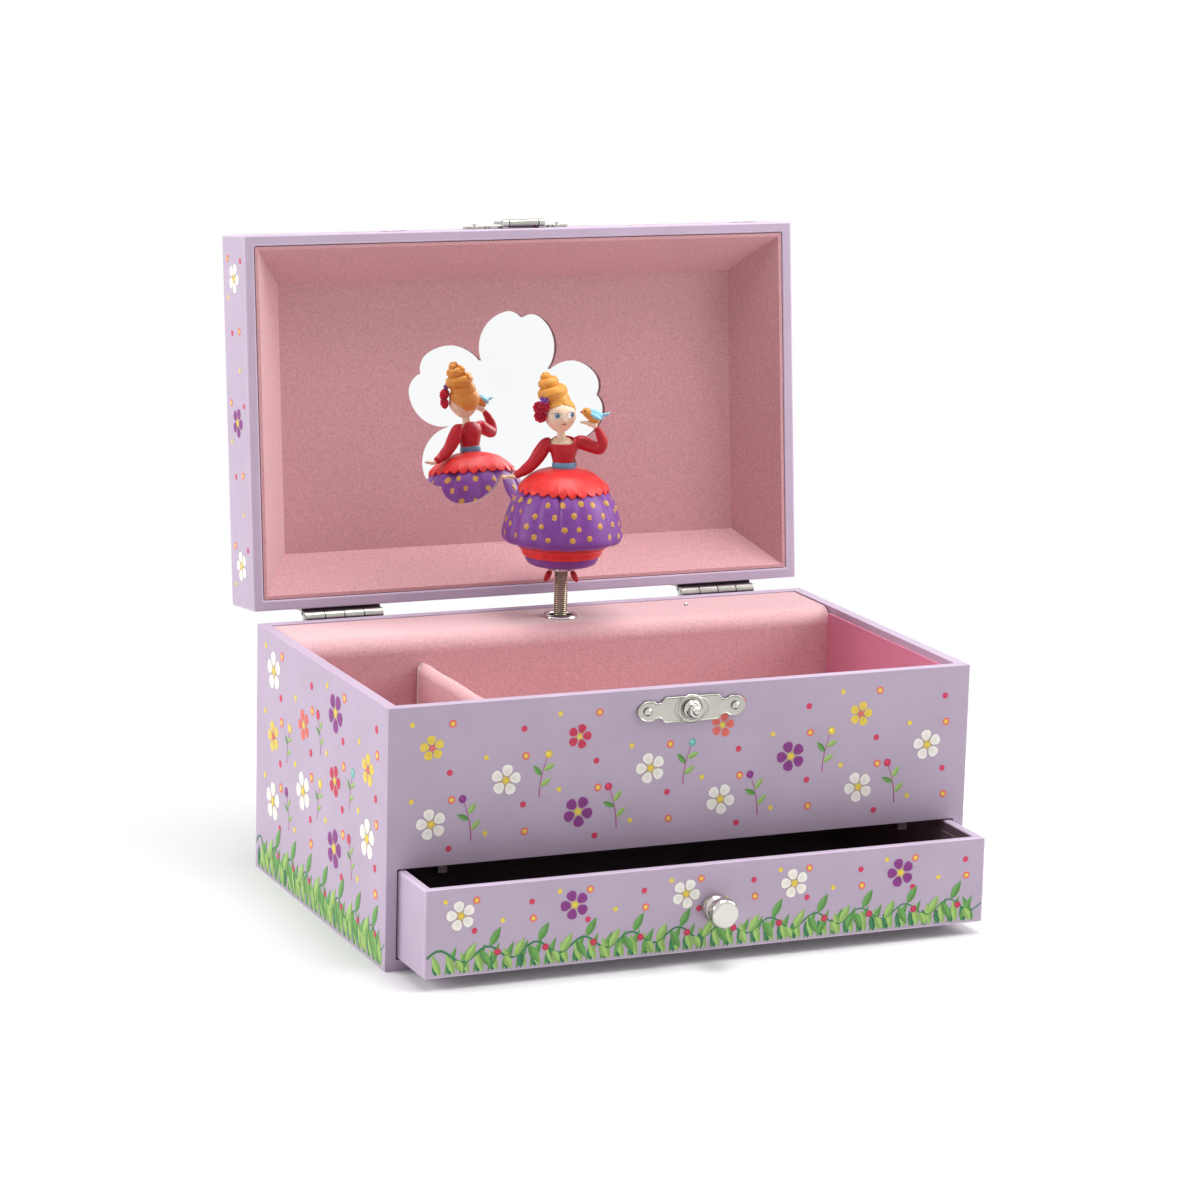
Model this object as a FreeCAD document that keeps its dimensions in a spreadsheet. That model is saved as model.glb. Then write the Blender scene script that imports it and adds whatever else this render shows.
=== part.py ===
"""Jewellery box with a turning dancer, a musical movement, a mirrored lid and a drawer.

Millimetres, +Z up, +Y to the back. The origin is the middle of the underside.
The lid stands open, the drawer is part way out and the dancer stands upright.
"""
import FreeCAD, Part
import math
import os
import re
import Sketcher
from FreeCAD import Placement, Rotation, Vector

SIZES = [
    # Case
    ("box_width", 180.0), ("box_depth", 112.0), ("box_height", 75.0), ("wall", 3.2),
    ("drawer_opening_top", 29.2), ("shelf_thickness", 2.5), ("card", 1.0), ("lining_top", 73.0),
    ("cover_depth", 25.3), ("cover_card", 2.0), ("deck_top", 74.6), ("cover_edge_radius", 5.0),
    ("divider_x", -48.0), ("divider_thickness", 5.0), ("divider_top", 66.5), ("side_gap", 0.3),
    # Drawer
    ("drawer_pull", 20.7), ("drawer_width", 172.6), ("drawer_length", 107.5), ("drawer_front", 3.0),
    ("drawer_low", 3.6), ("drawer_high", 28.7), ("drawer_side", 2.5), ("drawer_floor", 2.0),
    ("drawer_lining", 0.6), ("tab_x", 72.0), ("tab_width", 2.4), ("tab_thickness", 0.7), ("tab_low", 26.2),
    # Drawer knob, from the drawer front outwards
    ("knob_z", 16.4), ("knob_bore", 1.5), ("knob_foot_radius", 3.3), ("knob_foot", 0.8),
    ("knob_ring_radius", 4.2), ("knob_ring_start", 1.6), ("knob_ring_end", 3.6), ("knob_groove_radius", 3.4),
    ("knob_groove_end", 4.8), ("knob_head_radius", 4.35), ("knob_head_start", 5.4), ("knob_head_end", 8.2),
    ("knob_face_radius", 3.7), ("knob_length", 9.0), ("knob_screw_head", 3.0), ("knob_bore_depth", 6.0),
    # Lid, as it lies when closed
    ("lid_gap", 0.6), ("lid_height", 21.0), ("liner_depth", 15.0), ("liner_inset", 10.8),
    ("mirror_thickness", 1.5), ("mirror_width", 80.0), ("mirror_height", 72.0), ("open_angle", 96.2),
    ("flower_offset", 1.4), ("petal_notch", 19.0), ("petal_side", 27.6), ("petal_lobe", 31.6),
    ("petal_dent", 30.2), ("petal_left_stretch", 1.1), ("flower_turn", -81.0), ("petals", 5),
    ("petal_side_angle", 25.5), ("petal_lobe_angle", 12.0), ("petal_brow_angle", 5.0),
    # Hinges
    ("hinge_x", 62.0), ("hinge_length", 25.0), ("hinge_offset", 2.6), ("hinge_leaf", 0.8),
    ("hinge_reach", 11.0),
    ("knuckle_radius", 1.7), ("hinge_pin_radius", 0.8), ("running_gap", 0.05), ("knuckle_gap", 0.3),
    # Catch and hasp
    ("catch_x", 1.0), ("catch_z", 68.6), ("catch_half", 16.75), ("catch_rise", 3.75), ("plate", 0.8),
    ("catch_block", 8.3), ("catch_neck", 10.6), ("catch_neck_rise", 2.2), ("catch_lobe_rise", 2.75),
    ("catch_lobe_start", 11.6), ("rivet_x", 13.6), ("rivet_radius", 1.2), ("rivet_shank", 0.7),
    ("rivet_depth", 1.8),
    ("stud_foot_radius", 2.6), ("stud_foot", 0.35), ("stud_radius", 2.1), ("stud_waist_radius", 1.5),
    ("stud_waist", 2.0), ("stud_collar", 2.7), ("stud_tip_radius", 1.1), ("stud_length", 3.9),
    ("hasp_axis_out", 1.6), ("hasp_axis_up", 4.4), ("hasp_knuckle", 1.2), ("hasp_pin", 0.6),
    ("hasp_scale", 1.2), ("hasp_gap", 0.4), ("hasp_arm", 1.8), ("tongue_half", 5.0), ("tongue_hole", 2.9),
    # Musical movement
    ("spindle_x", 1.8), ("spindle_y", 41.5), ("wheel_z", 47.0), ("bedplate", 1.8), ("bed_left", -12.0),
    ("bed_right", 58.0), ("bed_low", 33.4), ("bed_high", 71.4), ("gear_module", 0.6), ("crown_teeth", 36),
    ("pinion_teeth", 10), ("crown_disc", 2.2), ("crown_face", 1.5), ("drum_radius", 12.0),
    ("drum_length", 4.3),
    ("drum_wall", 0.8), ("arbor_radius", 2.0), ("mainspring_strip", 0.35), ("mainspring_step", 0.95),
    ("mainspring_turns", 8), ("cylinder_radius", 6.2), ("cylinder_start", 14.2), ("cylinder_length", 20.0),
    ("axle_radius", 1.0), ("tune_pin_radius", 0.25), ("tune_pin_height", 0.6), ("tracks", 16),
    ("pins_per_track", 4),
    ("train_module", 0.5), ("train_teeth", 34), ("train_width", 2.0), ("fly_module", 0.4),
    ("fly_wheel_teeth", 40),
    ("fly_wheel_width", 1.5), ("bracket", 1.2), ("comb_thickness", 1.0), ("comb_teeth", 16),
    ("comb_gap", 0.3),
    ("comb_top", 70.6), ("comb_root", 63.0), ("tooth_slit", 0.35), ("key_hole", 3.2), ("key_reach", 13.0),
    ("key_half", 11.0), ("key_rise", 5.0), ("key_thickness", 2.0), ("screw_hole", 1.3), ("screw_head", 2.4),
    ("stop_x", 45.2), ("stop_y", 44.4), ("stop_radius", 0.6), ("stop_length", 6.0), ("stop_foot_radius", 1.1),
    ("stop_foot", 0.3), ("screw_inset", 4.0), ("arm_width", 9.0), ("arm_reach", 3.5), ("arm_thickness", 1.5),
    ("arm_low", 60.0), ("arm_high", 64.0), ("comb_seat", 0.6), ("comb_screw_reach", 4.0), ("comb_taper", 3.5),
    ("governor_gap", 14.0), ("pivot_margin", 3.5), ("blade_width", 8.4), ("blade_thickness", 0.5),
    ("blade_length", 7.0), ("blade_start", 4.0),
    # Spindle, spring and dancer: heights above the floor
    ("spindle_radius", 1.2), ("collet_radius", 1.45), ("collet_flange", 2.6), ("collet_low", 66.8),
    ("collet_seat", 67.8), ("collet_high", 71.0), ("spring_top", 88.8), ("spring_radius", 1.85),
    ("spring_wire", 0.5), ("spring_pitch", 1.06), ("ferrule_flange", 5.4), ("ferrule_rise", 1.0),
    ("ferrule_tube", 4.2), ("ferrule_bore", 3.7), ("socket_low", 84.0), ("skirt_low", 89.6),
    ("tier_low_radius", 9.6), ("tier_radius", 10.9), ("tier_top", 92.4), ("frill_radius", 12.2),
    ("frill_out_radius", 13.4), ("frill_mid", 94.6), ("frill_top", 96.8), ("hem_in_radius", 15.6),
    ("hem_low", 97.0), ("hem_radius", 18.5), ("hem_edge", 99.2), ("skirt_mid_radius", 17.4),
    ("skirt_mid", 104.5),
    ("skirt_up_radius", 15.2), ("skirt_up", 110.6), ("peplum_under", 112.6), ("peplum_radius", 13.6),
    ("peplum_edge", 114.0), ("peplum_up_radius", 10.5), ("peplum_up", 117.8), ("peplum_top_radius", 6.4),
    ("waist_z", 120.2), ("waist_radius", 3.7), ("figure_turn", 23.4), ("neck_low", 129.4),
    ("neck_length", 3.0),
    ("neck_foot_radius", 1.9), ("neck_radius", 1.3), ("neck_lean", -0.9),
]

# The figure faces -Y on its own axis: (z, half width, half depth) rings and (x, y, z, radius) limb joints.
BODICE = [(120.2, 3.5, 3.0), (122.2, 3.3, 2.7), (125.6, 4.2, 3.3), (128.4, 4.9, 3.1), (129.9, 3.2, 2.5)]
RAISED_ARM = [(4.0, 0.2, 128.6, 2.0), (11.0, -0.6, 126.7, 1.75), (9.3, -2.0, 132.2, 1.1),
              (8.7, -2.4, 134.1, 0.8)]
LOWERED_ARM = [(-4.6, 0.2, 127.8, 2.0), (-7.4, 0.1, 124.4, 2.1), (-11.0, -0.6, 120.0, 1.8),
               (-13.4, -1.2, 118.3, 1.2), (-18.2, -2.0, 117.5, 0.7)]
FACE = [(-0.9, -0.7, 133.5, 2.3), (-1.4, -0.5, 136.2, 4.4)]
HAIR_ROLLS = [(-2.0, 0.9, 138.4, 5.3), (-3.2, 0.8, 141.8, 4.6), (-4.3, 0.8, 145.0, 3.3),
              (-5.1, 0.8, 147.4, 2.1), (-5.7, 0.8, 148.9, 1.1)]
HAIR_ROSE = (-7.0, -2.0, 137.6, 2.6)
BIRD = [(4.9, -2.8, 137.6, 0.4), (6.6, -2.8, 138.0, 1.4), (9.2, -2.6, 136.5, 1.65), (11.8, -2.5, 137.3, 0.8),
        (13.5, -2.5, 137.9, 0.5)]
SHOE = [(3.9, -0.9, 89.9, 0.9), (4.4, -1.6, 86.4, 0.95), (4.7, -1.9, 85.6, 0.7)]

TINY = 1e-6
FLY_WAY = Vector(0, -0.6, 0.8)               # from the governor's axis to the fly's
UPRIGHT = Rotation(Vector(1, 0, 0), 90)      # sketch up is +Z, thickness runs to the front
BACKWARD = Rotation(Vector(1, 0, 0), -90)    # sketch up is -Z, thickness runs to the back
CROSSWISE = Rotation(Vector(1, 1, 1), 120)   # sketch across is +Y, sketch up is +Z, thickness runs to +X
SIDEWAYS = Rotation(Vector(0, 1, 0), 90)     # a turned piece's axis runs to +X

doc = FreeCAD.newDocument("jewellery_box")
sheet = doc.addObject("Spreadsheet::Sheet", "Sizes")
for row, (alias, number) in enumerate(SIZES, start=1):
    sheet.set("A%d" % row, alias)
    sheet.set("B%d" % row, str(number))
    sheet.setAlias("B%d" % row, alias)
doc.recompute()

parts = []
lid_parts = []


class Cells:
    """Reads a driving dimension by its name."""

    def __getattr__(self, name):
        return float(sheet.get(name))


S = Cells()


def full(text):
    """Sheet names in an expression, written the way the document refers to them."""
    return re.sub(r"[a-z][a-z_]+", r"Sizes.\g<0>", text)


def value(text):
    return float(sheet.evalExpression(full(text)))


def bind(target, **expressions):
    for name, text in expressions.items():
        target.setExpression(name, full(text))


def at(target, across="0", back="0", up="0", turn=Rotation()):
    """Place a piece at sheet expressions for its X, Y and Z."""
    target.Placement = Placement(Vector(value(across), value(back), value(up)), turn)
    for name, text in (("x", across), ("y", back), ("z", up)):
        target.setExpression("Placement.Base." + name, full(text))
    return target


def keep(piece, label, on_lid=False):
    """Make a piece one of the named sub-parts."""
    piece.Label = label
    parts.append(piece)
    if on_lid:
        lid_parts.append(piece)
    return piece


def box(name, length, width, height, corner):
    solid = doc.addObject("Part::Box", name)
    bind(solid, Length=length, Width=width, Height=height)
    return at(solid, *corner)


def rod(name, radius, length, place, turn=Rotation()):
    solid = doc.addObject("Part::Cylinder", name)
    bind(solid, Radius=radius, Height=length)
    return at(solid, *place, turn)


def cut(name, base, *tools):
    """Take each tool out of the base in turn."""
    for number, tool in enumerate(tools):
        taken = doc.addObject("Part::Cut", "%s_cut_%d" % (name, number))
        taken.Base = base
        taken.Tool = tool
        base = taken
    return base


def fuse(name, *solids):
    joined = doc.addObject("Part::MultiFuse", name + "_joined")
    joined.Shapes = list(solids)
    joined.Refine = True
    return joined


def group(name, *solids):
    """Separate solids that share one node."""
    together = doc.addObject("Part::Compound", name + "_group")
    together.Links = list(solids)
    return together


def feature(name, shape):
    solid = doc.addObject("Part::Feature", name)
    solid.Shape = shape
    return solid


def new_body(name):
    return doc.addObject("PartDesign::Body", name)


def new_sketch(body, role="XY_Plane"):
    sketch = body.newObject("Sketcher::SketchObject", body.Name + "_sketch")
    plane = next(item for item in body.Origin.OriginFeatures if item.Role == role)
    sketch.AttachmentSupport = (plane, [""])
    sketch.MapMode = "FlatFace"
    return sketch


def pin_point(sketch, geometry, vertex, across, up):
    """Hold a vertex at two sheet expressions measured from the sketch's origin."""
    for kind, axis, text in (("DistanceX", -2, across), ("DistanceY", -1, up)):
        number = value(text)
        if abs(number) < TINY:
            sketch.addConstraint(Sketcher.Constraint("PointOnObject", geometry, vertex, axis))
        else:
            index = sketch.addConstraint(Sketcher.Constraint(kind, -1, 1, geometry, vertex, number))
            sketch.setExpression("Constraints[%d]" % index, full(text))


def add_polygon(sketch, corners):
    points = [Vector(value(across), value(up), 0) for across, up in corners]
    first = sketch.GeometryCount
    count = len(points)
    for number in range(count):
        sketch.addGeometry(Part.LineSegment(points[number], points[(number + 1) % count]))
    for number in range(count):
        following = first + (number + 1) % count
        sketch.addConstraint(Sketcher.Constraint("Coincident", first + number, 2, following, 1))
    for number, (across, up) in enumerate(corners):
        pin_point(sketch, first + number, 1, across, up)


def add_rectangle(sketch, left, low, right, high):
    add_polygon(sketch, [(left, low), (right, low), (right, high), (left, high)])


def add_circle(sketch, across, up, radius):
    centre = Vector(value(across), value(up), 0)
    number = sketch.addGeometry(Part.Circle(centre, Vector(0, 0, 1), value(radius)))
    index = sketch.addConstraint(Sketcher.Constraint("Radius", number, value(radius)))
    sketch.setExpression("Constraints[%d]" % index, full(radius))
    pin_point(sketch, number, 3, across, up)


def pad(body, sketch, thickness, symmetric=False):
    solid = body.newObject("PartDesign::Pad", body.Name + "_pad")
    solid.Profile = sketch
    bind(solid, Length=thickness)
    if symmetric:
        solid.SideType = "Symmetric"
    return solid


def round_edges(body, radius, chosen):
    """Round the body's edges that the chosen test picks."""
    doc.recompute()
    base = body.Tip
    names = ["Edge%d" % (n + 1) for n, edge in enumerate(base.Shape.Edges) if chosen(edge)]
    rounded = body.newObject("PartDesign::Fillet", body.Name + "_fillet")
    rounded.Base = (base, names)
    bind(rounded, Radius=radius)
    doc.recompute()
    return rounded


def turned(name, profile):
    """A lathe-turned solid about Z from (radius, height) pairs of sheet expressions."""
    body = new_body(name)
    sketch = new_sketch(body, "XZ_Plane")
    add_polygon(sketch, profile)
    solid = body.newObject("PartDesign::Revolution", name + "_turned")
    solid.Profile = sketch
    solid.ReferenceAxis = (sketch, ["V_Axis"])
    solid.Angle = 360
    return body


def is_along(edge, axis):
    if len(edge.Vertexes) < 2:
        return False
    run = edge.Vertexes[1].Point - edge.Vertexes[0].Point
    return run.Length > TINY and abs(run.normalize().dot(axis)) > 0.999


def near_line(edge, axis, point):
    """True for a straight edge along the axis that passes through the point."""
    if not is_along(edge, axis):
        return False
    offset = edge.Vertexes[0].Point - point
    return (offset - axis * offset.dot(axis)).Length < 0.01


def make_case():
    inner_width = "box_width - 2 * wall"
    left = "-box_width / 2"
    front = "-box_depth / 2"
    keep(box("base_panel", "box_width", "box_depth", "wall", (left, front, "0")), "base_panel")
    side = ("wall", "box_depth", "box_height - wall")
    keep(box("left_side", *side, (left, front, "wall")), "left_side")
    keep(box("right_side", *side, ("box_width / 2 - wall", front, "wall")), "right_side")
    fascia = box("fascia_blank", inner_width, "wall", "box_height - drawer_opening_top",
                 ("wall - box_width / 2", front, "drawer_opening_top"))
    keep(cut("front_fascia", fascia, *rivet_ways("fascia_rivet_way", "catch_z")), "front_fascia")
    keep(box("drawer_shelf", inner_width, "box_depth - 2 * wall - tab_thickness", "shelf_thickness",
             ("wall - box_width / 2", "wall + tab_thickness - box_depth / 2", "drawer_opening_top")),
         "drawer_shelf")
    panel = box("back_blank", inner_width, "wall", "box_height - wall",
                ("wall - box_width / 2", "box_depth / 2 - wall", "wall"))
    key_way = rod("key_way", "key_hole", "wall + 2", ("spindle_x", "box_depth / 2 + 1", "wheel_z"), UPRIGHT)
    screw_ways = [rod("screw_way", "screw_hole", "wall + 2", (across, "box_depth / 2 + 1", up), UPRIGHT)
                  for across, up in bed_screw_places()]
    keep(cut("back_panel", panel, key_way, *screw_ways), "back_panel")


def rivet_ways(name, up):
    """Blind holes in a front board for the two rivets of a plate."""
    return [rod(name, "rivet_shank + 0.02", "rivet_depth + 1",
                ("catch_x %s rivet_x" % side, "rivet_depth + 0.1 - box_depth / 2", up), UPRIGHT)
                for side in "-+"]


def bed_screw_places():
    low = "bed_low + screw_inset"
    return [("bed_left + screw_inset", "bed_high - screw_inset"), ("bed_right - screw_inset", low),
            ("spindle_x + 2 * drum_radius", low)]


def make_drawer_tabs():
    tabs = [box("drawer_tab", "tab_width", "tab_thickness", "drawer_opening_top + shelf_thickness - tab_low",
                (middle + " - tab_width / 2", "wall - box_depth / 2", "tab_low"))
                for middle in ("-tab_x", "tab_x")]
    keep(group("drawer_stop_tabs", *tabs), "drawer_stop_tabs")


def make_linings():
    floor = "drawer_opening_top + shelf_thickness"
    rise = "lining_top - drawer_opening_top - shelf_thickness - card"
    base = floor + " + card"
    run = "box_depth - 2 * wall - cover_depth"
    keep(box("compartment_floor", "box_width - 2 * wall", run, "card",
             ("wall - box_width / 2", "wall - box_depth / 2", floor)), "compartment_floor")
    keep(box("front_lining", "box_width - 2 * wall", "card", rise,
             ("wall - box_width / 2", "wall - box_depth / 2", base)), "front_lining")
    side_run = run + " - card"
    side_start = "wall + card - box_depth / 2"
    sides = [box("side_lining", "card", side_run, rise, (start, side_start, base))
             for start in ("wall - box_width / 2", "box_width / 2 - wall - card")]
    keep(group("side_linings", *sides), "side_linings")


def make_mechanism_cover():
    """Bent card with a rounded edge that hides the movement: a deck and a front wall."""
    front = "box_depth / 2 - wall - cover_depth"
    back = "box_depth / 2 - wall"
    foot = "drawer_opening_top + shelf_thickness"
    body = new_body("cover_bent")
    sketch = new_sketch(body)
    add_polygon(sketch, [(front, foot), (front + " + cover_card", foot),
                         (front + " + cover_card", "deck_top - cover_card"),
                         (back, "deck_top - cover_card"), (back, "deck_top"), (front, "deck_top")])
    pad(body, sketch, "box_width - 2 * wall - 2 * side_gap", symmetric=True)
    along = Vector(0, 0, 1)
    outer = Vector(value(front), S.deck_top, 0)
    inner = Vector(value(front) + S.cover_card, S.deck_top - S.cover_card, 0)
    round_edges(body, "cover_edge_radius", lambda edge: near_line(edge, along, outer))
    round_edges(body, "cover_edge_radius - cover_card", lambda edge: near_line(edge, along, inner))
    at(body, turn=CROSSWISE)
    spindle_way = rod("spindle_way", "ferrule_tube", "cover_card + 2",
                      ("spindle_x", "spindle_y", "deck_top - cover_card - 1"))
    stop_way = rod("stop_way", "stop_radius + running_gap", "cover_card + 2",
                   ("stop_x", "stop_y", "deck_top - cover_card - 1"))
    keep(cut("mechanism_cover", body, spindle_way, stop_way), "mechanism_cover")


def make_divider():
    """Padded partition with a rounded top."""
    body = new_body("divider")
    sketch = new_sketch(body)
    floor = "drawer_opening_top + shelf_thickness + card"
    run = "box_depth - 2 * wall - cover_depth - card"
    add_rectangle(sketch, "-divider_thickness / 2", floor, "divider_thickness / 2", "divider_top")
    pad(body, sketch, run)
    along = Vector(0, 0, 1)
    tops = [Vector(side * S.divider_thickness / 2, S.divider_top, 0) for side in (-1, 1)]
    round_edges(body, "divider_thickness * 0.45", lambda edge: any(near_line(edge, along, top)
                                                                   for top in tops))
    at(body, "divider_x", "box_depth / 2 - wall - cover_depth", "0", UPRIGHT)
    keep(body, "divider")


def make_ferrule():
    profile = [("ferrule_bore", "-cover_card"), ("ferrule_tube", "-cover_card"), ("ferrule_tube", "0"),
               ("ferrule_flange", "0"), ("ferrule_flange", "ferrule_rise * 0.3"),
               ("ferrule_flange - 0.6", "ferrule_rise * 0.75"), ("ferrule_bore + 0.7", "ferrule_rise"),
               ("ferrule_bore", "ferrule_rise * 0.7")]
    keep(at(turned("deck_ferrule", profile), "spindle_x", "spindle_y", "deck_top"), "deck_ferrule")


def make_drawer():
    """Five boards, pulled out by the drawer's resting pull."""
    front = "-box_depth / 2 - drawer_pull"
    left = "-drawer_width / 2"
    rise = "drawer_high - drawer_low"
    side_run = "drawer_length - drawer_front"
    face = box("drawer_face", "drawer_width", "drawer_front", rise, (left, front, "drawer_low"))
    bore = rod("drawer_face_bore", "knob_bore + 0.1", "drawer_front + 2",
               ("0", front + " + drawer_front + 1", "knob_z"),
               UPRIGHT)
    keep(cut("drawer_front_board", face, bore), "drawer_front_board")
    behind = front + " + drawer_front"
    keep(box("drawer_left_side", "drawer_side", side_run, rise, (left, behind, "drawer_low")),
         "drawer_left_side")
    keep(box("drawer_right_side", "drawer_side", side_run, rise,
             ("drawer_width / 2 - drawer_side", behind, "drawer_low")),
         "drawer_right_side")
    inner = "drawer_width - 2 * drawer_side"
    keep(box("drawer_back_board", inner, "drawer_side", rise,
             (left + " + drawer_side", front + " + drawer_length - drawer_side", "drawer_low")),
         "drawer_back_board")
    keep(box("drawer_bottom", inner, "drawer_length - drawer_front - drawer_side", "drawer_floor",
             (left + " + drawer_side", behind, "drawer_low")), "drawer_bottom")
    make_drawer_lining(front, left)


def make_drawer_lining(front, left):
    """Thin tray of lining card on the drawer's floor and inner walls."""
    corner = (left + " + drawer_side", front + " + drawer_front", "drawer_low + drawer_floor")
    tray = box("drawer_tray", "drawer_width - 2 * drawer_side", "drawer_length - drawer_front - drawer_side",
               "tab_low - drawer_low - drawer_floor - 0.5", corner)
    hollow = box("drawer_tray_hollow", "drawer_width - 2 * drawer_side - 2 * drawer_lining",
                 "drawer_length - drawer_front - drawer_side - 2 * drawer_lining", "drawer_high - drawer_low",
                 [text + " + drawer_lining" for text in corner])
    screw_way = rod("tray_screw_way", "knob_screw_head + 0.3", "drawer_lining + 1",
                    ("0", front + " + drawer_front + drawer_lining + 0.5", "knob_z"), UPRIGHT)
    keep(cut("drawer_lining", tray, hollow, screw_way), "drawer_lining")


def make_knob():
    profile = [("knob_bore", "0"), ("knob_foot_radius", "0"), ("knob_foot_radius", "knob_foot"),
               ("knob_ring_radius", "knob_ring_start"), ("knob_ring_radius", "knob_ring_end"),
               ("knob_groove_radius", "knob_groove_end - 0.6"), ("knob_groove_radius", "knob_groove_end"),
               ("knob_head_radius", "knob_head_start"), ("knob_head_radius", "knob_head_end"),
               ("knob_face_radius", "knob_length"), ("0", "knob_length"), ("0", "knob_bore_depth"),
               ("knob_bore", "knob_bore_depth")]
    front = "-box_depth / 2 - drawer_pull"
    keep(at(turned("drawer_knob", profile), "0", front, "knob_z", UPRIGHT), "drawer_knob")
    shank = "drawer_front + knob_bore_depth - 0.5"
    screw = [("0", "0"), ("knob_screw_head", "0"), ("knob_screw_head", "0.8"), ("knob_screw_head - 1", "1.6"),
             ("knob_bore - 0.05", "1.6"), ("knob_bore - 0.05", "1.6 + " + shank), ("0", "1.6 + " + shank)]
    keep(at(turned("knob_screw", screw), "0", front + " + drawer_front + 1.6", "knob_z", UPRIGHT),
         "knob_screw")


def make_lid():
    """Boards of the lid as it lies closed on the case."""
    rim = "box_height + lid_gap"
    rise = "lid_height - wall"
    left = "-box_width / 2"
    front = "-box_depth / 2"
    inner_width = "box_width - 2 * wall"
    keep(box("lid_top", "box_width", "box_depth", "wall", (left, front, rim + " + lid_height - wall")),
         "lid_top", True)
    keep(box("lid_left_wall", "wall", "box_depth", rise, (left, front, rim)), "lid_left_wall", True)
    keep(box("lid_right_wall", "wall", "box_depth", rise, ("box_width / 2 - wall", front, rim)),
         "lid_right_wall", True)
    blank = box("lid_front_blank", inner_width, "wall", rise, ("wall - box_width / 2", front, rim))
    keep(cut("lid_front_wall", blank, *rivet_ways("lid_rivet_way", hasp_middle())), "lid_front_wall", True)
    keep(box("lid_back_wall", inner_width, "wall", rise,
             ("wall - box_width / 2", "box_depth / 2 - wall", rim)),
         "lid_back_wall", True)
    keep(box("mirror", "mirror_width", "mirror_height", "mirror_thickness",
             ("-mirror_width / 2", "flower_offset - mirror_height / 2", rim + " + liner_depth + card + 0.1")),
         "mirror", True)
    keep(feature("lid_liner", liner_shape()), "lid_liner", True)


def rectangle_wire(half_width, half_depth, height):
    corners = [Vector(-half_width, -half_depth, height), Vector(half_width, -half_depth, height),
               Vector(half_width, half_depth, height), Vector(-half_width, half_depth, height)]
    return Part.makePolygon(corners + corners[:1])


def flower_wire(height):
    """Five petals, each with two side arcs and a dented outer edge. Those on the left reach further."""
    centre = Vector(0, S.flower_offset, height)

    def point(radius, degrees):
        angle = math.radians(S.flower_turn + degrees)
        across = radius * math.cos(angle)
        reach = across * S.petal_left_stretch if across < 0 else across
        return centre + Vector(reach, radius * math.sin(angle), 0)

    edges = []
    share = 360 / S.petals
    for petal in range(int(S.petals)):
        axis = share * petal
        notch = point(S.petal_notch, axis - share / 2)
        left_side = point(S.petal_side, axis - S.petal_side_angle)
        left_lobe = point(S.petal_lobe, axis - S.petal_lobe_angle)
        left_brow = point(S.petal_lobe, axis - S.petal_brow_angle)
        dent = point(S.petal_dent, axis)
        right_brow = point(S.petal_lobe, axis + S.petal_brow_angle)
        right_lobe = point(S.petal_lobe, axis + S.petal_lobe_angle)
        right_side = point(S.petal_side, axis + S.petal_side_angle)
        next_notch = point(S.petal_notch, axis + share / 2)
        edges.append(Part.Arc(notch, left_side, left_lobe).toShape())
        edges.append(Part.Arc(left_lobe, left_brow, dent).toShape())
        edges.append(Part.Arc(dent, right_brow, right_lobe).toShape())
        edges.append(Part.Arc(right_lobe, right_side, next_notch).toShape())
    return Part.Wire(edges)


def liner_shape():
    """Folded lining card: four sloping sides and a back with a flower cut through it."""
    rim = S.box_height + S.lid_gap + 0.4
    back = S.box_height + S.lid_gap + S.liner_depth
    half_width = S.box_width / 2 - S.wall - 0.2
    half_depth = S.box_depth / 2 - S.wall - 0.2
    outer = Part.makeLoft([rectangle_wire(half_width, half_depth, rim),
                           rectangle_wire(half_width - S.liner_inset, half_depth - S.liner_inset,
                                          back + S.card)],
                          True, True)
    inner = Part.makeLoft([rectangle_wire(half_width - S.card, half_depth - S.card, rim - TINY),
                           rectangle_wire(half_width - S.card - S.liner_inset,
                                          half_depth - S.card - S.liner_inset, back)],
                          True, True)
    flower = Part.Face(flower_wire(back - 1)).extrude(Vector(0, 0, S.card + 2))
    return outer.cut(inner).cut(flower)


def knuckle_spans(length, count, gap, odd):
    """Start and length of every other knuckle along a hinge that starts at zero."""
    step = length / count
    return [(number * step + gap / 2, step - gap) for number in range(count) if number % 2 == odd]


def hinge_leaf_shape(middle, direction):
    """One leaf of a butt hinge: screwed plate, cranked web and two knuckles. direction is -1 for the case."""
    back = S.box_depth / 2
    axis = Vector(middle - S.hinge_length / 2, back + S.hinge_offset, S.box_height + S.lid_gap / 2)
    profile = [(0, S.hinge_reach), (S.hinge_leaf, S.hinge_reach), (S.hinge_leaf, 3.0),
               (S.hinge_offset + 0.6, 1.2), (S.hinge_offset - 0.9, 0.7), (0, 2.2)]
    points = [Vector(axis.x, back + out, axis.z + direction * rise) for out, rise in profile]
    leaf = Part.Face(Part.makePolygon(points + points[:1])).extrude(Vector(S.hinge_length, 0, 0))
    along = Vector(1, 0, 0)
    odd = 1 if direction > 0 else 0
    for start, length in knuckle_spans(S.hinge_length, 4, 0, 1 - odd):
        base = axis + along * (start - S.knuckle_gap / 2)
        leaf = leaf.cut(Part.makeCylinder(S.knuckle_radius + S.knuckle_gap, length + S.knuckle_gap, base,
                                          along))
    for start, length in knuckle_spans(S.hinge_length, 4, S.knuckle_gap, odd):
        leaf = leaf.fuse(Part.makeCylinder(S.knuckle_radius, length, axis + along * start, along))
    bore = Part.makeCylinder(S.hinge_pin_radius + S.running_gap, S.hinge_length + 2, axis - along, along)
    return leaf.cut(bore).removeSplitter()


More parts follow.
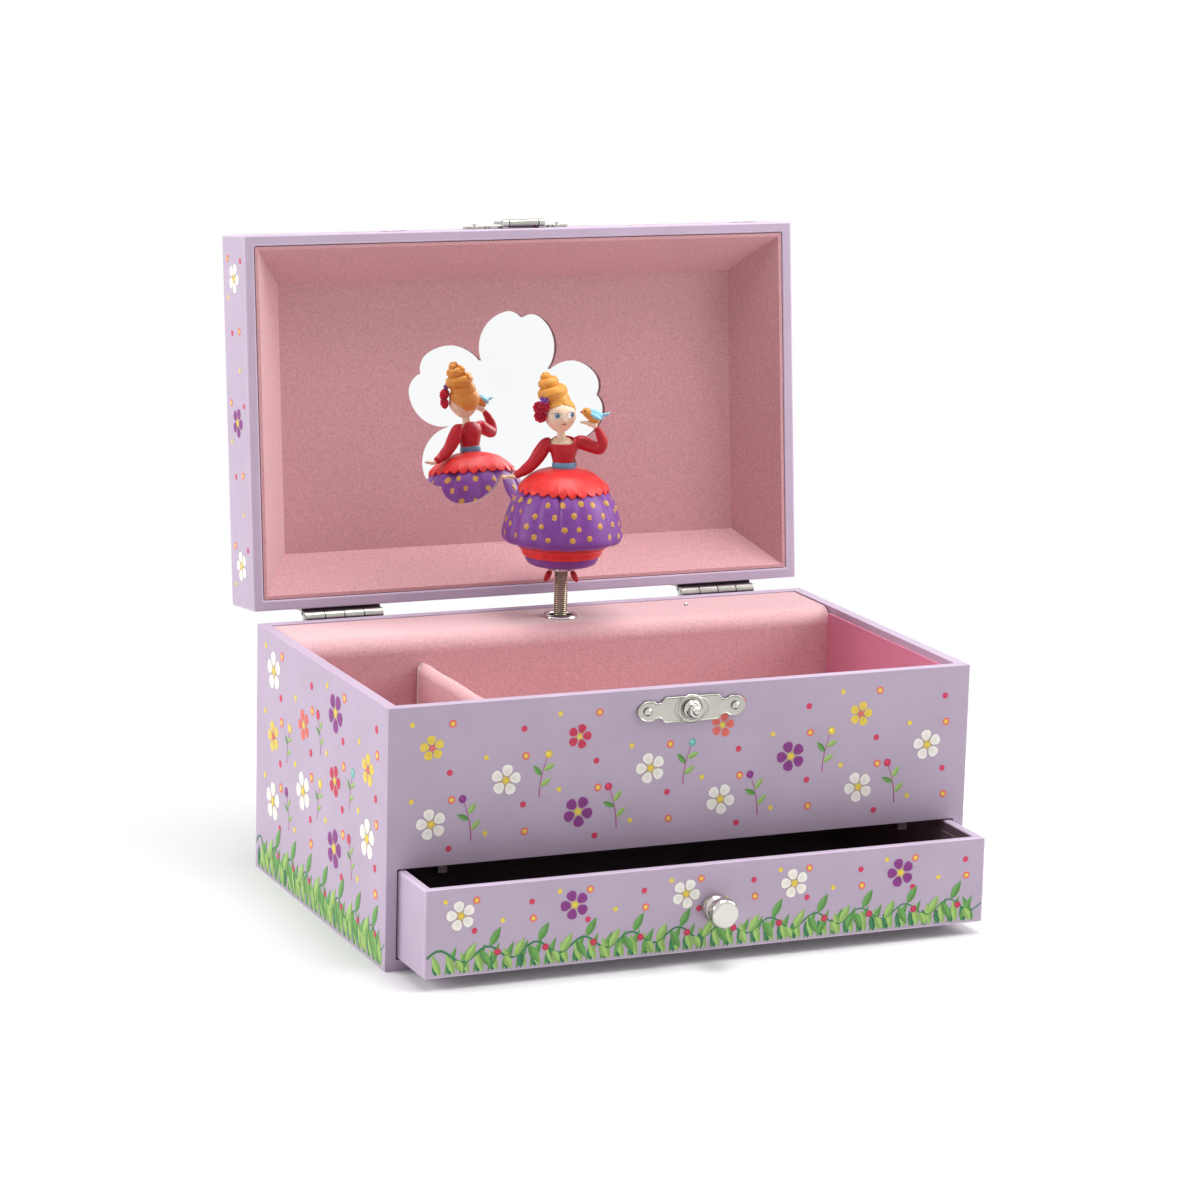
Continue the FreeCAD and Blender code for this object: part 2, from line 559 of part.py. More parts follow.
def make_hinges():
    middles = (-S.hinge_x, S.hinge_x)
    case_leaves = [feature("hinge_case_leaf", hinge_leaf_shape(middle, -1)) for middle in middles]
    lid_leaves = [feature("hinge_lid_leaf", hinge_leaf_shape(middle, 1)) for middle in middles]
    pins = [rod("hinge_pin", "hinge_pin_radius", "hinge_length",
                (sign + "hinge_x - hinge_length / 2", "box_depth / 2 + hinge_offset",
                 "box_height + lid_gap / 2"),
                SIDEWAYS) for sign in ("-", "")]
    keep(group("hinge_case_leaves", *case_leaves), "hinge_case_leaves")
    keep(group("hinge_lid_leaves", *lid_leaves), "hinge_lid_leaves", True)
    keep(group("hinge_pins", *pins), "hinge_pins")


def lobed_plate(name, thickness, rise_scale=""):
    """Plate with a square middle, waisted necks and round-ended lobes."""
    body = new_body(name)
    sketch = new_sketch(body)
    rise = "catch_rise" + rise_scale
    neck = "catch_neck_rise" + rise_scale
    lobe = "catch_lobe_rise" + rise_scale
    right = [("catch_block", rise), ("catch_neck - 0.6", neck), ("catch_neck + 0.3", neck),
             ("catch_lobe_start", lobe),
             ("catch_half - 1.2", lobe + " * 0.92"), ("catch_half", lobe + " * 0.4")]
    quarter = right + [(x, "-" + y) for x, y in reversed(right)]
    half = [("-(%s)" % x, y) for x, y in reversed(quarter)]
    add_polygon(sketch, quarter + half)
    for side in ("-", ""):
        add_circle(sketch, side + "rivet_x", "0", "rivet_shank + 0.05")
    pad(body, sketch, thickness)
    return body


def rivet(name, across, up, out):
    """Round-headed rivet through a plate on the front of the case or lid."""
    profile = [("0", "-rivet_depth"), ("rivet_shank", "-rivet_depth"), ("rivet_shank", "plate"),
               ("rivet_radius", "plate"),
               ("rivet_radius * 0.9", "plate + 0.35"), ("rivet_radius * 0.5", "plate + 0.7"),
               ("0", "plate + 0.8")]
    return at(turned(name, profile), across, out, up, UPRIGHT)


def make_catch():
    front = "-box_depth / 2"
    keep(at(lobed_plate("catch_plate", "plate"), "catch_x", front, "catch_z", UPRIGHT), "catch_plate")
    stud = [("0", "0"), ("stud_foot_radius", "0"), ("stud_foot_radius", "stud_foot * 0.6"),
            ("stud_radius", "stud_foot"), ("stud_waist_radius", "stud_waist"),
            ("stud_waist_radius + 0.4", "stud_collar - 0.3"),
            ("stud_waist_radius + 0.4", "stud_collar"), ("stud_tip_radius", "stud_collar + 0.3"),
            ("stud_tip_radius", "stud_length - 0.5"), ("stud_tip_radius * 0.5", "stud_length"),
            ("0", "stud_length")]
    keep(at(turned("catch_stud", stud), "catch_x", front + " - plate", "catch_z", UPRIGHT), "catch_stud")
    rivets = [rivet("catch_rivet", "catch_x %s rivet_x" % side, "catch_z", front) for side in "-+"]
    keep(group("catch_rivets", *rivets), "catch_rivets")


def hasp_axis():
    return Vector(S.catch_x, -S.box_depth / 2 - S.hasp_axis_out, S.box_height + S.lid_gap + S.hasp_axis_up)


def hasp_middle():
    """Height of the lid plate's middle on the closed lid."""
    return "box_height + lid_gap + hasp_axis_up + hasp_knuckle + hasp_gap + catch_rise * hasp_scale"


def make_hasp():
    """Lid plate with two knuckles, and the tongue that swings down over the stud."""
    front = "-box_depth / 2"
    middle = hasp_middle()
    plate = at(lobed_plate("hasp_blank", "plate", " * hasp_scale"), "catch_x", front, middle, UPRIGHT)
    along = Vector(1, 0, 0)
    axis = hasp_axis()
    doc.recompute()
    shape = plate.Shape.copy()
    foot = S.hasp_knuckle / 2
    reach = value(middle) - S.catch_rise * S.hasp_scale - axis.z + foot + 0.5
    for side in (-1, 1):
        start = axis + along * (side * (S.tongue_half + S.hasp_arm / 2) - S.hasp_arm / 2)
        corner = Vector(start.x, -S.box_depth / 2 - S.plate, axis.z - foot)
        arm = Part.makeBox(S.hasp_arm, S.plate, reach, corner)
        shape = shape.fuse(arm).fuse(Part.makeCylinder(S.hasp_knuckle, S.hasp_arm, start, along))
    half = S.tongue_half + S.hasp_arm
    bore = Part.makeCylinder(S.hasp_pin + S.running_gap, 2 * half + 2, axis - along * (half + 1), along)
    keep(feature("hasp_plate", shape.cut(bore).removeSplitter()), "hasp_plate", True)
    keep(feature("hasp_tongue", tongue_shape(axis, along)), "hasp_tongue", True)
    pin_half = half - 0.1
    pin = Part.makeCylinder(S.hasp_pin, 2 * pin_half, axis - along * pin_half, along)
    keep(feature("hasp_pin", pin), "hasp_pin", True)
    rivets = [rivet("hasp_rivet", "catch_x %s rivet_x" % side, middle, front) for side in "-+"]
    keep(group("hasp_rivets", *rivets), "hasp_rivets", True)


def tongue_shape(axis, along):
    """Round-ended tongue with the stud's hole, folded back up the lid at rest."""
    half = S.tongue_half - S.knuckle_gap
    hole_at = Vector(0, 0, S.box_height + S.lid_gap + S.hasp_axis_up - S.catch_z)
    front = axis - Vector(0, S.plate / 2, 0)
    flat = Part.makeBox(2 * half, S.plate, hole_at.z, front - along * half)
    inward = Vector(0, 1, 0)
    end = Part.makeCylinder(half, S.plate, front + hole_at, inward)
    knuckle = Part.makeCylinder(S.hasp_knuckle, 2 * half, axis - along * half, along)
    hole = Part.makeCylinder(S.tongue_hole, 4, axis + hole_at - inward * 2, inward)
    bore = Part.makeCylinder(S.hasp_pin + S.running_gap, 2 * half + 2, axis - along * (half + 1), along)
    return flat.fuse(end).fuse(knuckle).cut(hole).cut(bore).removeSplitter()


def involute(radius, angle):
    return Vector(radius * (math.cos(angle) + angle * math.sin(angle)),
                  radius * (math.sin(angle) - angle * math.cos(angle)), 0)


def gear_face(teeth, module, share=0.42, addendum=0.8, dedendum=1.15):
    """Face of a spur gear with involute flanks. share is the tooth's part of the pitch."""
    pitch = module * teeth / 2
    base = pitch * math.cos(math.radians(20))
    tip = pitch + addendum * module
    root = pitch - dedendum * module
    pitch_roll = math.sqrt((pitch / base) ** 2 - 1)
    pitch_polar = math.atan2(involute(base, pitch_roll).y, involute(base, pitch_roll).x)
    half = math.pi * share / teeth + pitch_polar
    tip_roll = math.sqrt((tip / base) ** 2 - 1)
    flank = [(root, 0.0)]
    for step in range(4):
        point = involute(base, tip_roll * step / 3)
        if point.Length > root:
            flank.append((point.Length, math.atan2(point.y, point.x)))
    corners = []
    for tooth in range(teeth):
        middle = 2 * math.pi * tooth / teeth
        rising = [(r, middle - half + polar) for r, polar in flank]
        falling = [(r, middle + half - polar) for r, polar in reversed(flank)]
        corners += [Vector(r * math.cos(a), r * math.sin(a), 0) for r, a in rising + falling]
    return Part.Face(Part.makePolygon(corners + corners[:1]))


def spur_gear(teeth, module, width, share=0.42):
    return gear_face(int(teeth), module, share).extrude(Vector(0, 0, width))


def crown_axis():
    """Middle of the crown wheel on its pitch plane, which the pinions roll on."""
    pinion = S.gear_module * S.pinion_teeth / 2
    return Vector(S.spindle_x, S.spindle_y + pinion, S.wheel_z)


def crown_wheel_shape():
    """Disc with rack-shaped slots cut in its front face for the two pinions."""
    teeth = int(S.crown_teeth)
    module = S.gear_module
    pitch = module * teeth / 2
    top = 0.85 * module
    bottom = 1.15 * module
    disc = Part.makeCylinder(pitch + S.crown_face / 2, S.crown_disc)
    recess = Part.makeCylinder(pitch - S.crown_face / 2, bottom + top)
    disc = disc.cut(recess)
    half_width = math.pi * module * 0.29
    lean = math.tan(math.radians(20))
    section = [(half_width + lean * (top + 0.2), -0.2), (half_width - lean * bottom, top + bottom),
               (-half_width + lean * bottom, top + bottom), (-half_width - lean * (top + 0.2), -0.2)]
    points = [Vector(pitch - S.crown_face, across, up) for across, up in section]
    slot = Part.Face(Part.makePolygon(points + points[:1])).extrude(Vector(2 * S.crown_face, 0, 0))
    slots = []
    for tooth in range(teeth):
        copy = slot.copy()
        copy.rotate(Vector(0, 0, 0), Vector(0, 0, 1), 360.0 * tooth / teeth)
        slots.append(copy)
    return disc.cut(Part.makeCompound(slots)).cut(Part.makeCylinder(S.arbor_radius, 9, Vector(0, 0, -1)))


def make_main_wheel():
    """Crown wheel, arbor and key turn as one."""
    face = crown_axis() - Vector(0, 0.85 * S.gear_module, 0)
    wheel = feature("crown_wheel", crown_wheel_shape())
    wheel.Placement = Placement(face, BACKWARD)
    keep(wheel, "crown_wheel")
    pinion = "gear_module * pinion_teeth / 2"
    keep(rod("key_arbor", "arbor_radius", "box_depth / 2 + 5 - spindle_y - " + pinion,
             ("spindle_x", "spindle_y + " + pinion, "wheel_z"), BACKWARD), "key_arbor")
    make_key()


def make_key():
    """Two-winged key on the end of the arbor, with a round hub."""
    body = new_body("key_wings")
    sketch = new_sketch(body)
    hub = "arbor_radius + 1.4"
    wing = [("key_half", "key_rise * 0.55"), ("key_half * 0.75", "key_rise"),
            ("key_half * 0.4", "key_rise * 0.75")]
    right = wing + [(hub, "key_rise * 0.35")]
    upper = right + [("-(%s)" % x, y) for x, y in reversed(right)]
    add_polygon(sketch, upper + [(x, "-(%s)" % y) for x, y in reversed(upper)])
    pad(body, sketch, "key_thickness")
    at(body, "spindle_x", "box_depth / 2 + key_reach - key_thickness", "wheel_z", BACKWARD)
    hub_rod = rod("key_hub", hub, "key_reach - 2", ("spindle_x", "box_depth / 2 + 2", "wheel_z"), BACKWARD)
    socket = rod("key_socket", "arbor_radius", "6", ("spindle_x", "box_depth / 2 - 1", "wheel_z"), BACKWARD)
    keep(cut("winding_key", fuse("key_solid", body, hub_rod), socket), "winding_key")


def make_bedplate():
    """Cast plate with the comb's block, the cylinder's bearing post and the spindle's two arms."""
    back = "box_depth / 2 - wall - bedplate"
    plate = box("bed_blank", "bed_right - bed_left", "bedplate", "bed_high - bed_low",
                ("bed_left", back, "bed_low"))
    block = box("comb_block", "cylinder_length", back + " - spindle_y - comb_thickness / 2",
                "comb_top - comb_root - comb_seat",
                ("spindle_x + cylinder_start", "spindle_y + comb_thickness / 2", "comb_root + comb_seat"))
    arm_run = back + " - spindle_y + arm_reach"
    arm_front = "spindle_y - arm_reach"
    post = box("bearing_post", "bracket", arm_run, "arm_width",
               ("spindle_x + drum_radius + 0.5", arm_front, "wheel_z - arm_width / 2"))
    arms = [box("spindle_arm", "arm_width", arm_run, "arm_thickness",
                ("spindle_x - arm_width / 2", arm_front, level)) for level in ("arm_low", "arm_high")]
    arbor_way = rod("arbor_way", "arbor_radius + running_gap", "bedplate + 2",
                    ("spindle_x", "box_depth / 2 - wall + 1", "wheel_z"), UPRIGHT)
    axle_way = rod("axle_way", "axle_radius + running_gap", "8",
                   ("spindle_x + drum_radius - 2", "spindle_y", "wheel_z"), SIDEWAYS)
    bore_run = "arm_high - arm_low + arm_thickness + 2"
    spindle_bore = rod("spindle_bore", "spindle_radius + running_gap", bore_run,
                       ("spindle_x", "spindle_y", "arm_low - 1"))
    screw_ways = [rod("bed_screw_way", "screw_hole - 0.3", "bedplate + 2",
                      (across, "box_depth / 2 - wall + 1", up), UPRIGHT)
                  for across, up in bed_screw_places()]
    comb_ways = [rod("comb_tap", "screw_hole - 0.05", "comb_screw_reach",
                     (across, "spindle_y + comb_screw_reach", comb_screw_height()), UPRIGHT)
                 for across in comb_screw_places()]
    solid = fuse("bed_solid", plate, block, post, *arms)
    keep(cut("bedplate", solid, arbor_way, axle_way, spindle_bore, *screw_ways, *comb_ways), "bedplate")
    screws = [bed_screw(across, up) for across, up in bed_screw_places()]
    keep(group("movement_screws", *screws), "movement_screws")


def bed_screw(across, up):
    """Round-headed screw from outside the back panel into the bedplate."""
    reach = "wall + bedplate"
    shank = "screw_hole - 0.35"
    profile = [("0", "-(%s)" % reach), (shank, "-(%s)" % reach), (shank, "0"), ("screw_head", "0"),
               ("screw_head * 0.85", "0.7"), ("screw_head * 0.4", "1.1"), ("0", "1.2")]
    return at(turned("bed_screw", profile), across, "box_depth / 2", up, BACKWARD)


def make_drum():
    """Open-backed housing fixed to the bedplate, with the mainspring coiled inside it."""
    back = "box_depth / 2 - wall - bedplate"
    front = back + " - drum_length"
    place = ("spindle_x", front, "wheel_z")
    shell = rod("drum_shell", "drum_radius", "drum_length", place, BACKWARD)
    hollow = rod("drum_hollow", "drum_radius - drum_wall", "drum_length",
                 ("spindle_x", front + " + drum_wall", "wheel_z"), BACKWARD)
    way = rod("drum_way", "arbor_radius + running_gap", "drum_length",
              ("spindle_x", front + " - 1", "wheel_z"), BACKWARD)
    keep(cut("spring_drum", shell, hollow, way), "spring_drum")
    spring = feature("mainspring", mainspring_shape())
    spring.Placement = Placement(Vector(S.spindle_x, value(front) + S.drum_wall + 0.3, S.wheel_z), BACKWARD)
    keep(spring, "mainspring")


def mainspring_shape():
    """Flat strip wound in half circles that grow by half a step each."""
    half_turns = int(2 * S.mainspring_turns)
    growth = S.mainspring_step / 2
    inner = S.arbor_radius + 0.6

    def coil(offset):
        arcs = []
        for number in range(half_turns):
            centre = Vector(growth if number % 2 else 0.0, 0, 0)
            radius = inner + growth * number + offset
            sign = -1 if number % 2 else 1
            start = centre + Vector(sign * radius, 0, 0)
            middle = centre + Vector(0, sign * radius, 0)
            arcs.append(Part.Arc(start, middle, centre - Vector(sign * radius, 0, 0)).toShape())
        return arcs

    inside = coil(0.0)
    outside = coil(S.mainspring_strip)
    ends = [Part.makeLine(inside[0].Vertexes[0].Point, outside[0].Vertexes[0].Point),
            Part.makeLine(inside[-1].Vertexes[-1].Point, outside[-1].Vertexes[-1].Point)]
    outline = Part.Wire(Part.__sortEdges__(inside + outside + ends))
    return Part.Face(outline).extrude(Vector(0, 0, S.drum_length - S.drum_wall - 0.6))


def along_x(name, shape, start, axis):
    """Lay a shape that was made about Z along +X, so that its own X points down."""
    solid = feature(name, shape)
    solid.Placement = Placement(Vector(start, axis.y, axis.z), SIDEWAYS)
    return solid


def cylinder_axis():
    return Vector(S.spindle_x, S.spindle_y, S.wheel_z)


def pinion_start():
    """Where a pinion begins, measured out from the crown wheel's axis."""
    return S.gear_module * S.crown_teeth / 2 - S.crown_face / 2 - 0.3


def frame_x():
    """Inner plate of the governor frame."""
    return S.spindle_x + S.cylinder_start + S.cylinder_length + S.train_width + 2


def make_cylinder():
    """Pinned cylinder, and the arbor that carries it with the pinion and the train wheel."""
    axis = cylinder_axis()
    start = axis.x + S.cylinder_start
    barrel = Part.makeCylinder(S.cylinder_radius, S.cylinder_length)
    barrel = barrel.cut(Part.makeCylinder(S.axle_radius, S.cylinder_length + 2, Vector(0, 0, -1)))
    tracks = int(S.tracks)
    per_track = int(S.pins_per_track)
    pins = []
    for track in range(tracks):
        along = S.cylinder_length * (track + 0.5) / tracks
        for number in range(per_track):
            degrees = 360.0 * number / per_track + (37 * track * (number + 1)) % 67
            pin = Part.makeCylinder(S.tune_pin_radius, S.tune_pin_height + 0.4,
                                    Vector(S.cylinder_radius - 0.4, 0, along), Vector(1, 0, 0))
            pin.rotate(Vector(0, 0, 0), Vector(0, 0, 1), degrees)
            pins.append(pin)
    keep(along_x("tune_cylinder", barrel.fuse(pins), start, axis), "tune_cylinder")
    first = axis.x + pinion_start()
    axle = Part.makeCylinder(S.axle_radius, frame_x() + S.bracket - first)
    pinion = spur_gear(S.pinion_teeth, S.gear_module, S.crown_face + 0.6, 0.36)
    pinion.rotate(Vector(0, 0, 0), Vector(0, 0, 1), 90)
    wheel = spur_gear(S.train_teeth, S.train_module, S.train_width)
    wheel.translate(Vector(0, 0, start + S.cylinder_length + 0.3 - first))
    keep(along_x("cylinder_arbor", axle.fuse([pinion, wheel]), first, axis), "cylinder_arbor")


def comb_shape():
    """Tuned steel comb: teeth reach down to the cylinder's pins and shorten towards the treble."""
    count = int(S.comb_teeth)
    step = S.cylinder_length / count
    tip = S.wheel_z + S.cylinder_radius + S.tune_pin_height + S.comb_gap
    corners = [(0, S.comb_top), (0, tip)]
    for number in range(1, count):
        root = S.comb_root - S.comb_taper * number / count
        slit = S.tooth_slit / 2
        corners += [(number * step - slit, tip), (number * step - slit, root),
                    (number * step + slit, root), (number * step + slit, tip)]
    corners += [(S.cylinder_length, tip), (S.cylinder_length, S.comb_top)]
    start = S.spindle_x + S.cylinder_start
    points = [Vector(start + across, S.spindle_y - S.comb_thickness / 2, up) for across, up in corners]
    return Part.Face(Part.makePolygon(points + points[:1])).extrude(Vector(0, S.comb_thickness, 0))


def comb_screw_places():
    return ["spindle_x + cylinder_start + cylinder_length * %s" % part for part in ("0.2", "0.8")]


def comb_screw_height():
    return "(comb_root + comb_top) / 2 + comb_seat"


def make_comb():
    height = comb_screw_height()
    ways = [rod("comb_way", "screw_hole", "comb_thickness + 2",
                (across, "spindle_y + comb_thickness / 2 + 1", height), UPRIGHT)
            for across in comb_screw_places()]
    keep(cut("tune_comb", feature("comb_blank", comb_shape()), *ways), "tune_comb")
    shank = "screw_hole - 0.1"
    profile = [("0", "-comb_screw_reach"), (shank, "-comb_screw_reach"), (shank, "0"), ("screw_head", "0"),
               ("screw_head", "0.6"),
               ("screw_head * 0.7", "1.1"), ("0", "1.2")]
    screws = [at(turned("comb_screw", profile), across, "spindle_y - comb_thickness / 2", height, UPRIGHT)
              for across in comb_screw_places()]
    keep(group("comb_screws", *screws), "comb_screws")


def governor_axis():
    distance = S.train_module * (S.train_teeth + S.pinion_teeth) / 2
    return cylinder_axis() + Vector(0, 0, distance)


def fly_axis():
    distance = S.fly_module * (S.fly_wheel_teeth + S.pinion_teeth) / 2
    return governor_axis() + FLY_WAY * distance


def fly_bearing():
    """Direction from the governor's axis to the fly's, in the frame of a gear laid along +X."""
    return math.degrees(math.atan2(FLY_WAY.y, -FLY_WAY.z))


def make_governor():
    """Frame of two plates, the step-up arbor and the fly that brakes the train in air."""
    inner = frame_x()
    plate_gap = S.governor_gap
    back = S.box_depth / 2 - S.wall - S.bedplate
    front = fly_axis().y - S.pivot_margin
    low = S.wheel_z - S.pivot_margin
    tall = S.bed_high - low
    plates = [Part.makeBox(S.bracket, back - front, tall, Vector(start, front, low))
              for start in (inner, inner + plate_gap)]
    web = Part.makeBox(plate_gap + S.bracket, S.bracket * 0.6, tall,
                       Vector(inner, back - S.bracket * 0.6, low))
    frame = plates[0].fuse([plates[1], web])
    along = Vector(1, 0, 0)
    pivots = [(cylinder_axis(), S.axle_radius), (governor_axis(), S.axle_radius * 0.8),
              (fly_axis(), S.axle_radius * 0.6)]
    for point, radius in pivots:
        hole = Part.makeCylinder(radius + S.running_gap, plate_gap + 6, Vector(inner - 2, point.y, point.z),
                                 along)
        frame = frame.cut(hole)
    keep(feature("governor_frame", frame), "governor_frame")
    make_governor_arbor(inner, plate_gap)
    make_fly(inner, plate_gap)


def make_governor_arbor(inner, plate_gap):
    axis = governor_axis()
    first = axis.x + S.cylinder_start + S.cylinder_length + 0.3
    arbor = Part.makeCylinder(S.axle_radius * 0.8, inner + plate_gap + S.bracket - first)
    pinion = spur_gear(S.pinion_teeth, S.train_module, S.train_width)
    pinion.rotate(Vector(0, 0, 0), Vector(0, 0, 1), mesh_turn(S.pinion_teeth, S.train_teeth))
    wheel = spur_gear(S.fly_wheel_teeth, S.fly_module, S.fly_wheel_width)
    towards = fly_bearing()
    wheel.rotate(Vector(0, 0, 0), Vector(0, 0, 1), towards)
    wheel.translate(Vector(0, 0, inner + S.bracket + 1 - first))
    keep(along_x("governor_arbor", arbor.fuse([pinion, wheel]), first, axis), "governor_arbor")


def mesh_turn(teeth, other):
    """Turn that sets a tooth gap of the upper gear over the tooth gap pattern of the wheel below it."""
    pitch = 360.0 / teeth
    top_phase = (180.0 / (360.0 / other)) % 1.0
    return pitch * (0.5 - top_phase)


def make_fly(inner, plate_gap):
    """Two-bladed air brake with its pinion."""
    axis = fly_axis()
    first = inner
    shaft = Part.makeCylinder(S.axle_radius * 0.6, plate_gap + S.bracket)
    pinion = spur_gear(S.pinion_teeth, S.fly_module, S.fly_wheel_width)
    towards = fly_bearing() + 180
    pinion.rotate(Vector(0, 0, 0), Vector(0, 0, 1), towards + 180.0 / S.pinion_teeth)
    pinion.translate(Vector(0, 0, S.bracket + 1))
    corner = Vector(-S.blade_width / 2, -S.blade_thickness / 2, S.bracket + S.blade_start)
    blade = Part.makeBox(S.blade_width, S.blade_thickness, S.blade_length, corner)
    keep(along_x("governor_fly", shaft.fuse([pinion, blade]), first, axis), "governor_fly")


def make_spindle():
    """Upright arbor with its pinion and the collet that grips the spring's foot."""
    axis = cylinder_axis()
    low = axis.z + pinion_start()
    shaft = Part.makeCylinder(S.spindle_radius, S.collet_low - low, Vector(0, 0, low))
    pinion = spur_gear(S.pinion_teeth, S.gear_module, S.crown_face + 0.6, 0.36)
    pinion.rotate(Vector(0, 0, 0), Vector(0, 0, 1), 90)
    pinion.translate(Vector(0, 0, low))
    flange = Part.makeCylinder(S.collet_flange, S.collet_seat - S.collet_low, Vector(0, 0, S.collet_low))
    collet = Part.makeCylinder(S.collet_radius, S.collet_high - S.collet_low, Vector(0, 0, S.collet_low))
    spindle = feature("dancer_spindle", shaft.fuse([pinion, flange, collet]))
    spindle.Placement = Placement(Vector(axis.x, axis.y, 0), Rotation())
    keep(spindle, "dancer_spindle")


def biarc(start, start_way, end, end_way):
    """Two tangent arcs between two points with given directions."""
    chord = end - start
    ways = start_way + end_way
    bend = 2 * (1 - start_way.dot(end_way))
    lean = chord.dot(ways)
    reach = (math.sqrt(lean * lean + bend * chord.dot(chord)) - lean) / bend
    middle = (start + end + (start_way - end_way) * reach) * 0.5
    return [arc_from(start, start_way, middle), arc_from(end, end_way * -1, middle, backwards=True)]


def arc_from(start, way, end, backwards=False):
    chord = end - start
    half = chord.Length / 2
    ahead = Vector(chord).normalize()
    side = way - ahead * way.dot(ahead)
    rise = half * math.tan(way.getAngle(ahead) / 2)
    crest = start + chord * 0.5 + side.normalize() * rise
    return Part.Arc(end, crest, start) if backwards else Part.Arc(start, crest, end)


def spring_arcs():
    """Close-wound helix in half-turn biarcs, with a straight upright end of one wire width at each end."""
    radius = S.spring_radius
    wire = S.spring_wire
    lead = S.spring_pitch / (2 * math.pi * radius)
    level = 1 / math.sqrt(1 + lead * lead)
    low = S.collet_seat + wire
    high = S.spring_top - wire
    ease = math.radians(60)
    ease_rise = 0.6
    turns = math.floor((high - low - 2 * ease_rise) / S.spring_pitch * 2) / 2
    rise_each = (high - low - 2 * ease_rise) / turns

    def place(angle, height):
        return Vector(radius * math.cos(angle), radius * math.sin(angle), height)

    def heading(angle):
        return Vector(-math.sin(angle) * level, math.cos(angle) * level, lead * level)

    up = Vector(0, 0, 1)
    foot = place(0, low)
    knots = [(place(ease + math.pi * n, low + ease_rise + rise_each * n / 2), heading(ease + math.pi * n))
             for n in range(int(turns * 2) + 1)]
    end_angle = 2 * ease + math.pi * int(turns * 2)
    head = place(end_angle, high)
    knots = [(foot, up)] + knots + [(head, up)]
    arcs = []
    for (start, start_way), (end, end_way) in zip(knots, knots[1:]):
        arcs += biarc(start, start_way, end, end_way)
    return foot, head, arcs


def least_gap(arcs, wire):
    """Smallest clear space between parts of the wire that are over half a turn apart."""
    points = []
    for arc in arcs:
        first, last = arc.FirstParameter, arc.LastParameter
        points += [arc.value(first + (last - first) * step / 6) for step in range(6)]
    apart = 10
    nearest = min((points[i] - points[j]).Length for i in range(len(points))
                  for j in range(i + apart, len(points)))
    return nearest - wire


def make_spring():
    foot, head, arcs = spring_arcs()
    run = Vector(0, 0, S.spring_wire)
    turns = [arc.toShape() for arc in arcs]
    path = Part.Wire([Part.makeLine(foot - run, foot)] + turns + [Part.makeLine(head, head + run)])
    section = Part.Wire(Part.makeCircle(S.spring_wire / 2, foot - run, Vector(0, 0, 1)))
    coil = feature("dancer_spring", path.makePipeShell([section], True, False))
    coil.Placement = Placement(Vector(S.spindle_x, S.spindle_y, 0), Rotation())
    keep(coil, "dancer_spring")
    tightest = min(arc.toShape().Curve.Radius for arc in arcs)
    print("spring: least gap %.2f mm, tightest radius %.2f mm" % (least_gap(arcs, S.spring_wire), tightest))


def figure_turn():
    return Rotation(Vector(0, 0, 1), -S.figure_turn)


def on_figure(shape, name):
    """A shape made about the dancer's own axis, facing -Y, set on the spindle's axis."""
    solid = feature(name, shape)
    solid.Placement = Placement(Vector(S.spindle_x, S.spindle_y, 0), figure_turn())
    return solid


def limb(joints):
    """Tapering round limb through (x, y, z, radius) joints, a little fuller at them than between them."""
    between = 0.93
    solid = None
    for number, (x, y, z, radius) in enumerate(joints):
        centre = Vector(x, y, z)
        ball = Part.makeSphere(radius, centre)
        solid = ball if solid is None else solid.fuse(ball)
        if number:
            before = Vector(*joints[number - 1][:3])
            way = centre - before
            taper = Part.makeCone(joints[number - 1][3] * between, radius * between + 0.001, way.Length,
                                  before, way)
            solid = solid.fuse(taper)
    return solid


def make_dancer():
    make_socket()
    make_skirt()
    head = head_shape()
    bird = limb(BIRD)
    keep(on_figure(torso_shape().cut([head, bird]), "dancer_torso"), "dancer_torso")
    keep(on_figure(head, "dancer_head"), "dancer_head")
    keep(on_figure(bird, "dancer_bird"), "dancer_bird")


def make_socket():
    """Plug inside the spring's head with a flange under the skirt."""
    profile = [("0", "socket_low"), ("collet_radius", "socket_low"), ("collet_radius", "spring_top"),
               ("collet_flange", "spring_top"), ("collet_flange", "skirt_low"), ("0", "skirt_low")]
    keep(at(turned("dancer_socket", profile), "spindle_x", "spindle_y"), "dancer_socket")


def make_skirt():
    """Bell skirt over a frill and an under-tier, with a peplum at the waist and the shoe tips below."""
    profile = [("0", "skirt_low"), ("tier_low_radius", "skirt_low"), ("tier_radius", "tier_top - 1"),
               ("tier_radius", "tier_top"), ("frill_radius", "tier_top"), ("frill_out_radius", "frill_mid"),
               ("frill_out_radius", "frill_top"), ("hem_in_radius", "hem_low"),
               ("hem_radius", "hem_edge - 1"),
               ("hem_radius", "hem_edge + 0.8"), ("skirt_mid_radius", "skirt_mid"),
               ("skirt_up_radius", "skirt_up"),
               ("peplum_radius - 0.8", "peplum_under"), ("peplum_radius", "peplum_under + 0.3"),
               ("peplum_radius", "peplum_edge"), ("peplum_up_radius", "peplum_up"),
               ("peplum_top_radius", "waist_z - 0.5"), ("waist_radius", "waist_z"), ("0", "waist_z")]
    bell = turned("skirt_bell", profile)
    shoes = []
    for side in (-1, 1):
        shoe = limb([(side * x, y, z, radius) for x, y, z, radius in SHOE])
        shoes.append(feature("dancer_shoe", shoe))
    skirt = fuse("dancer_skirt", bell, *shoes)
    keep(at(skirt, "spindle_x", "spindle_y", "0", figure_turn()), "dancer_skirt")


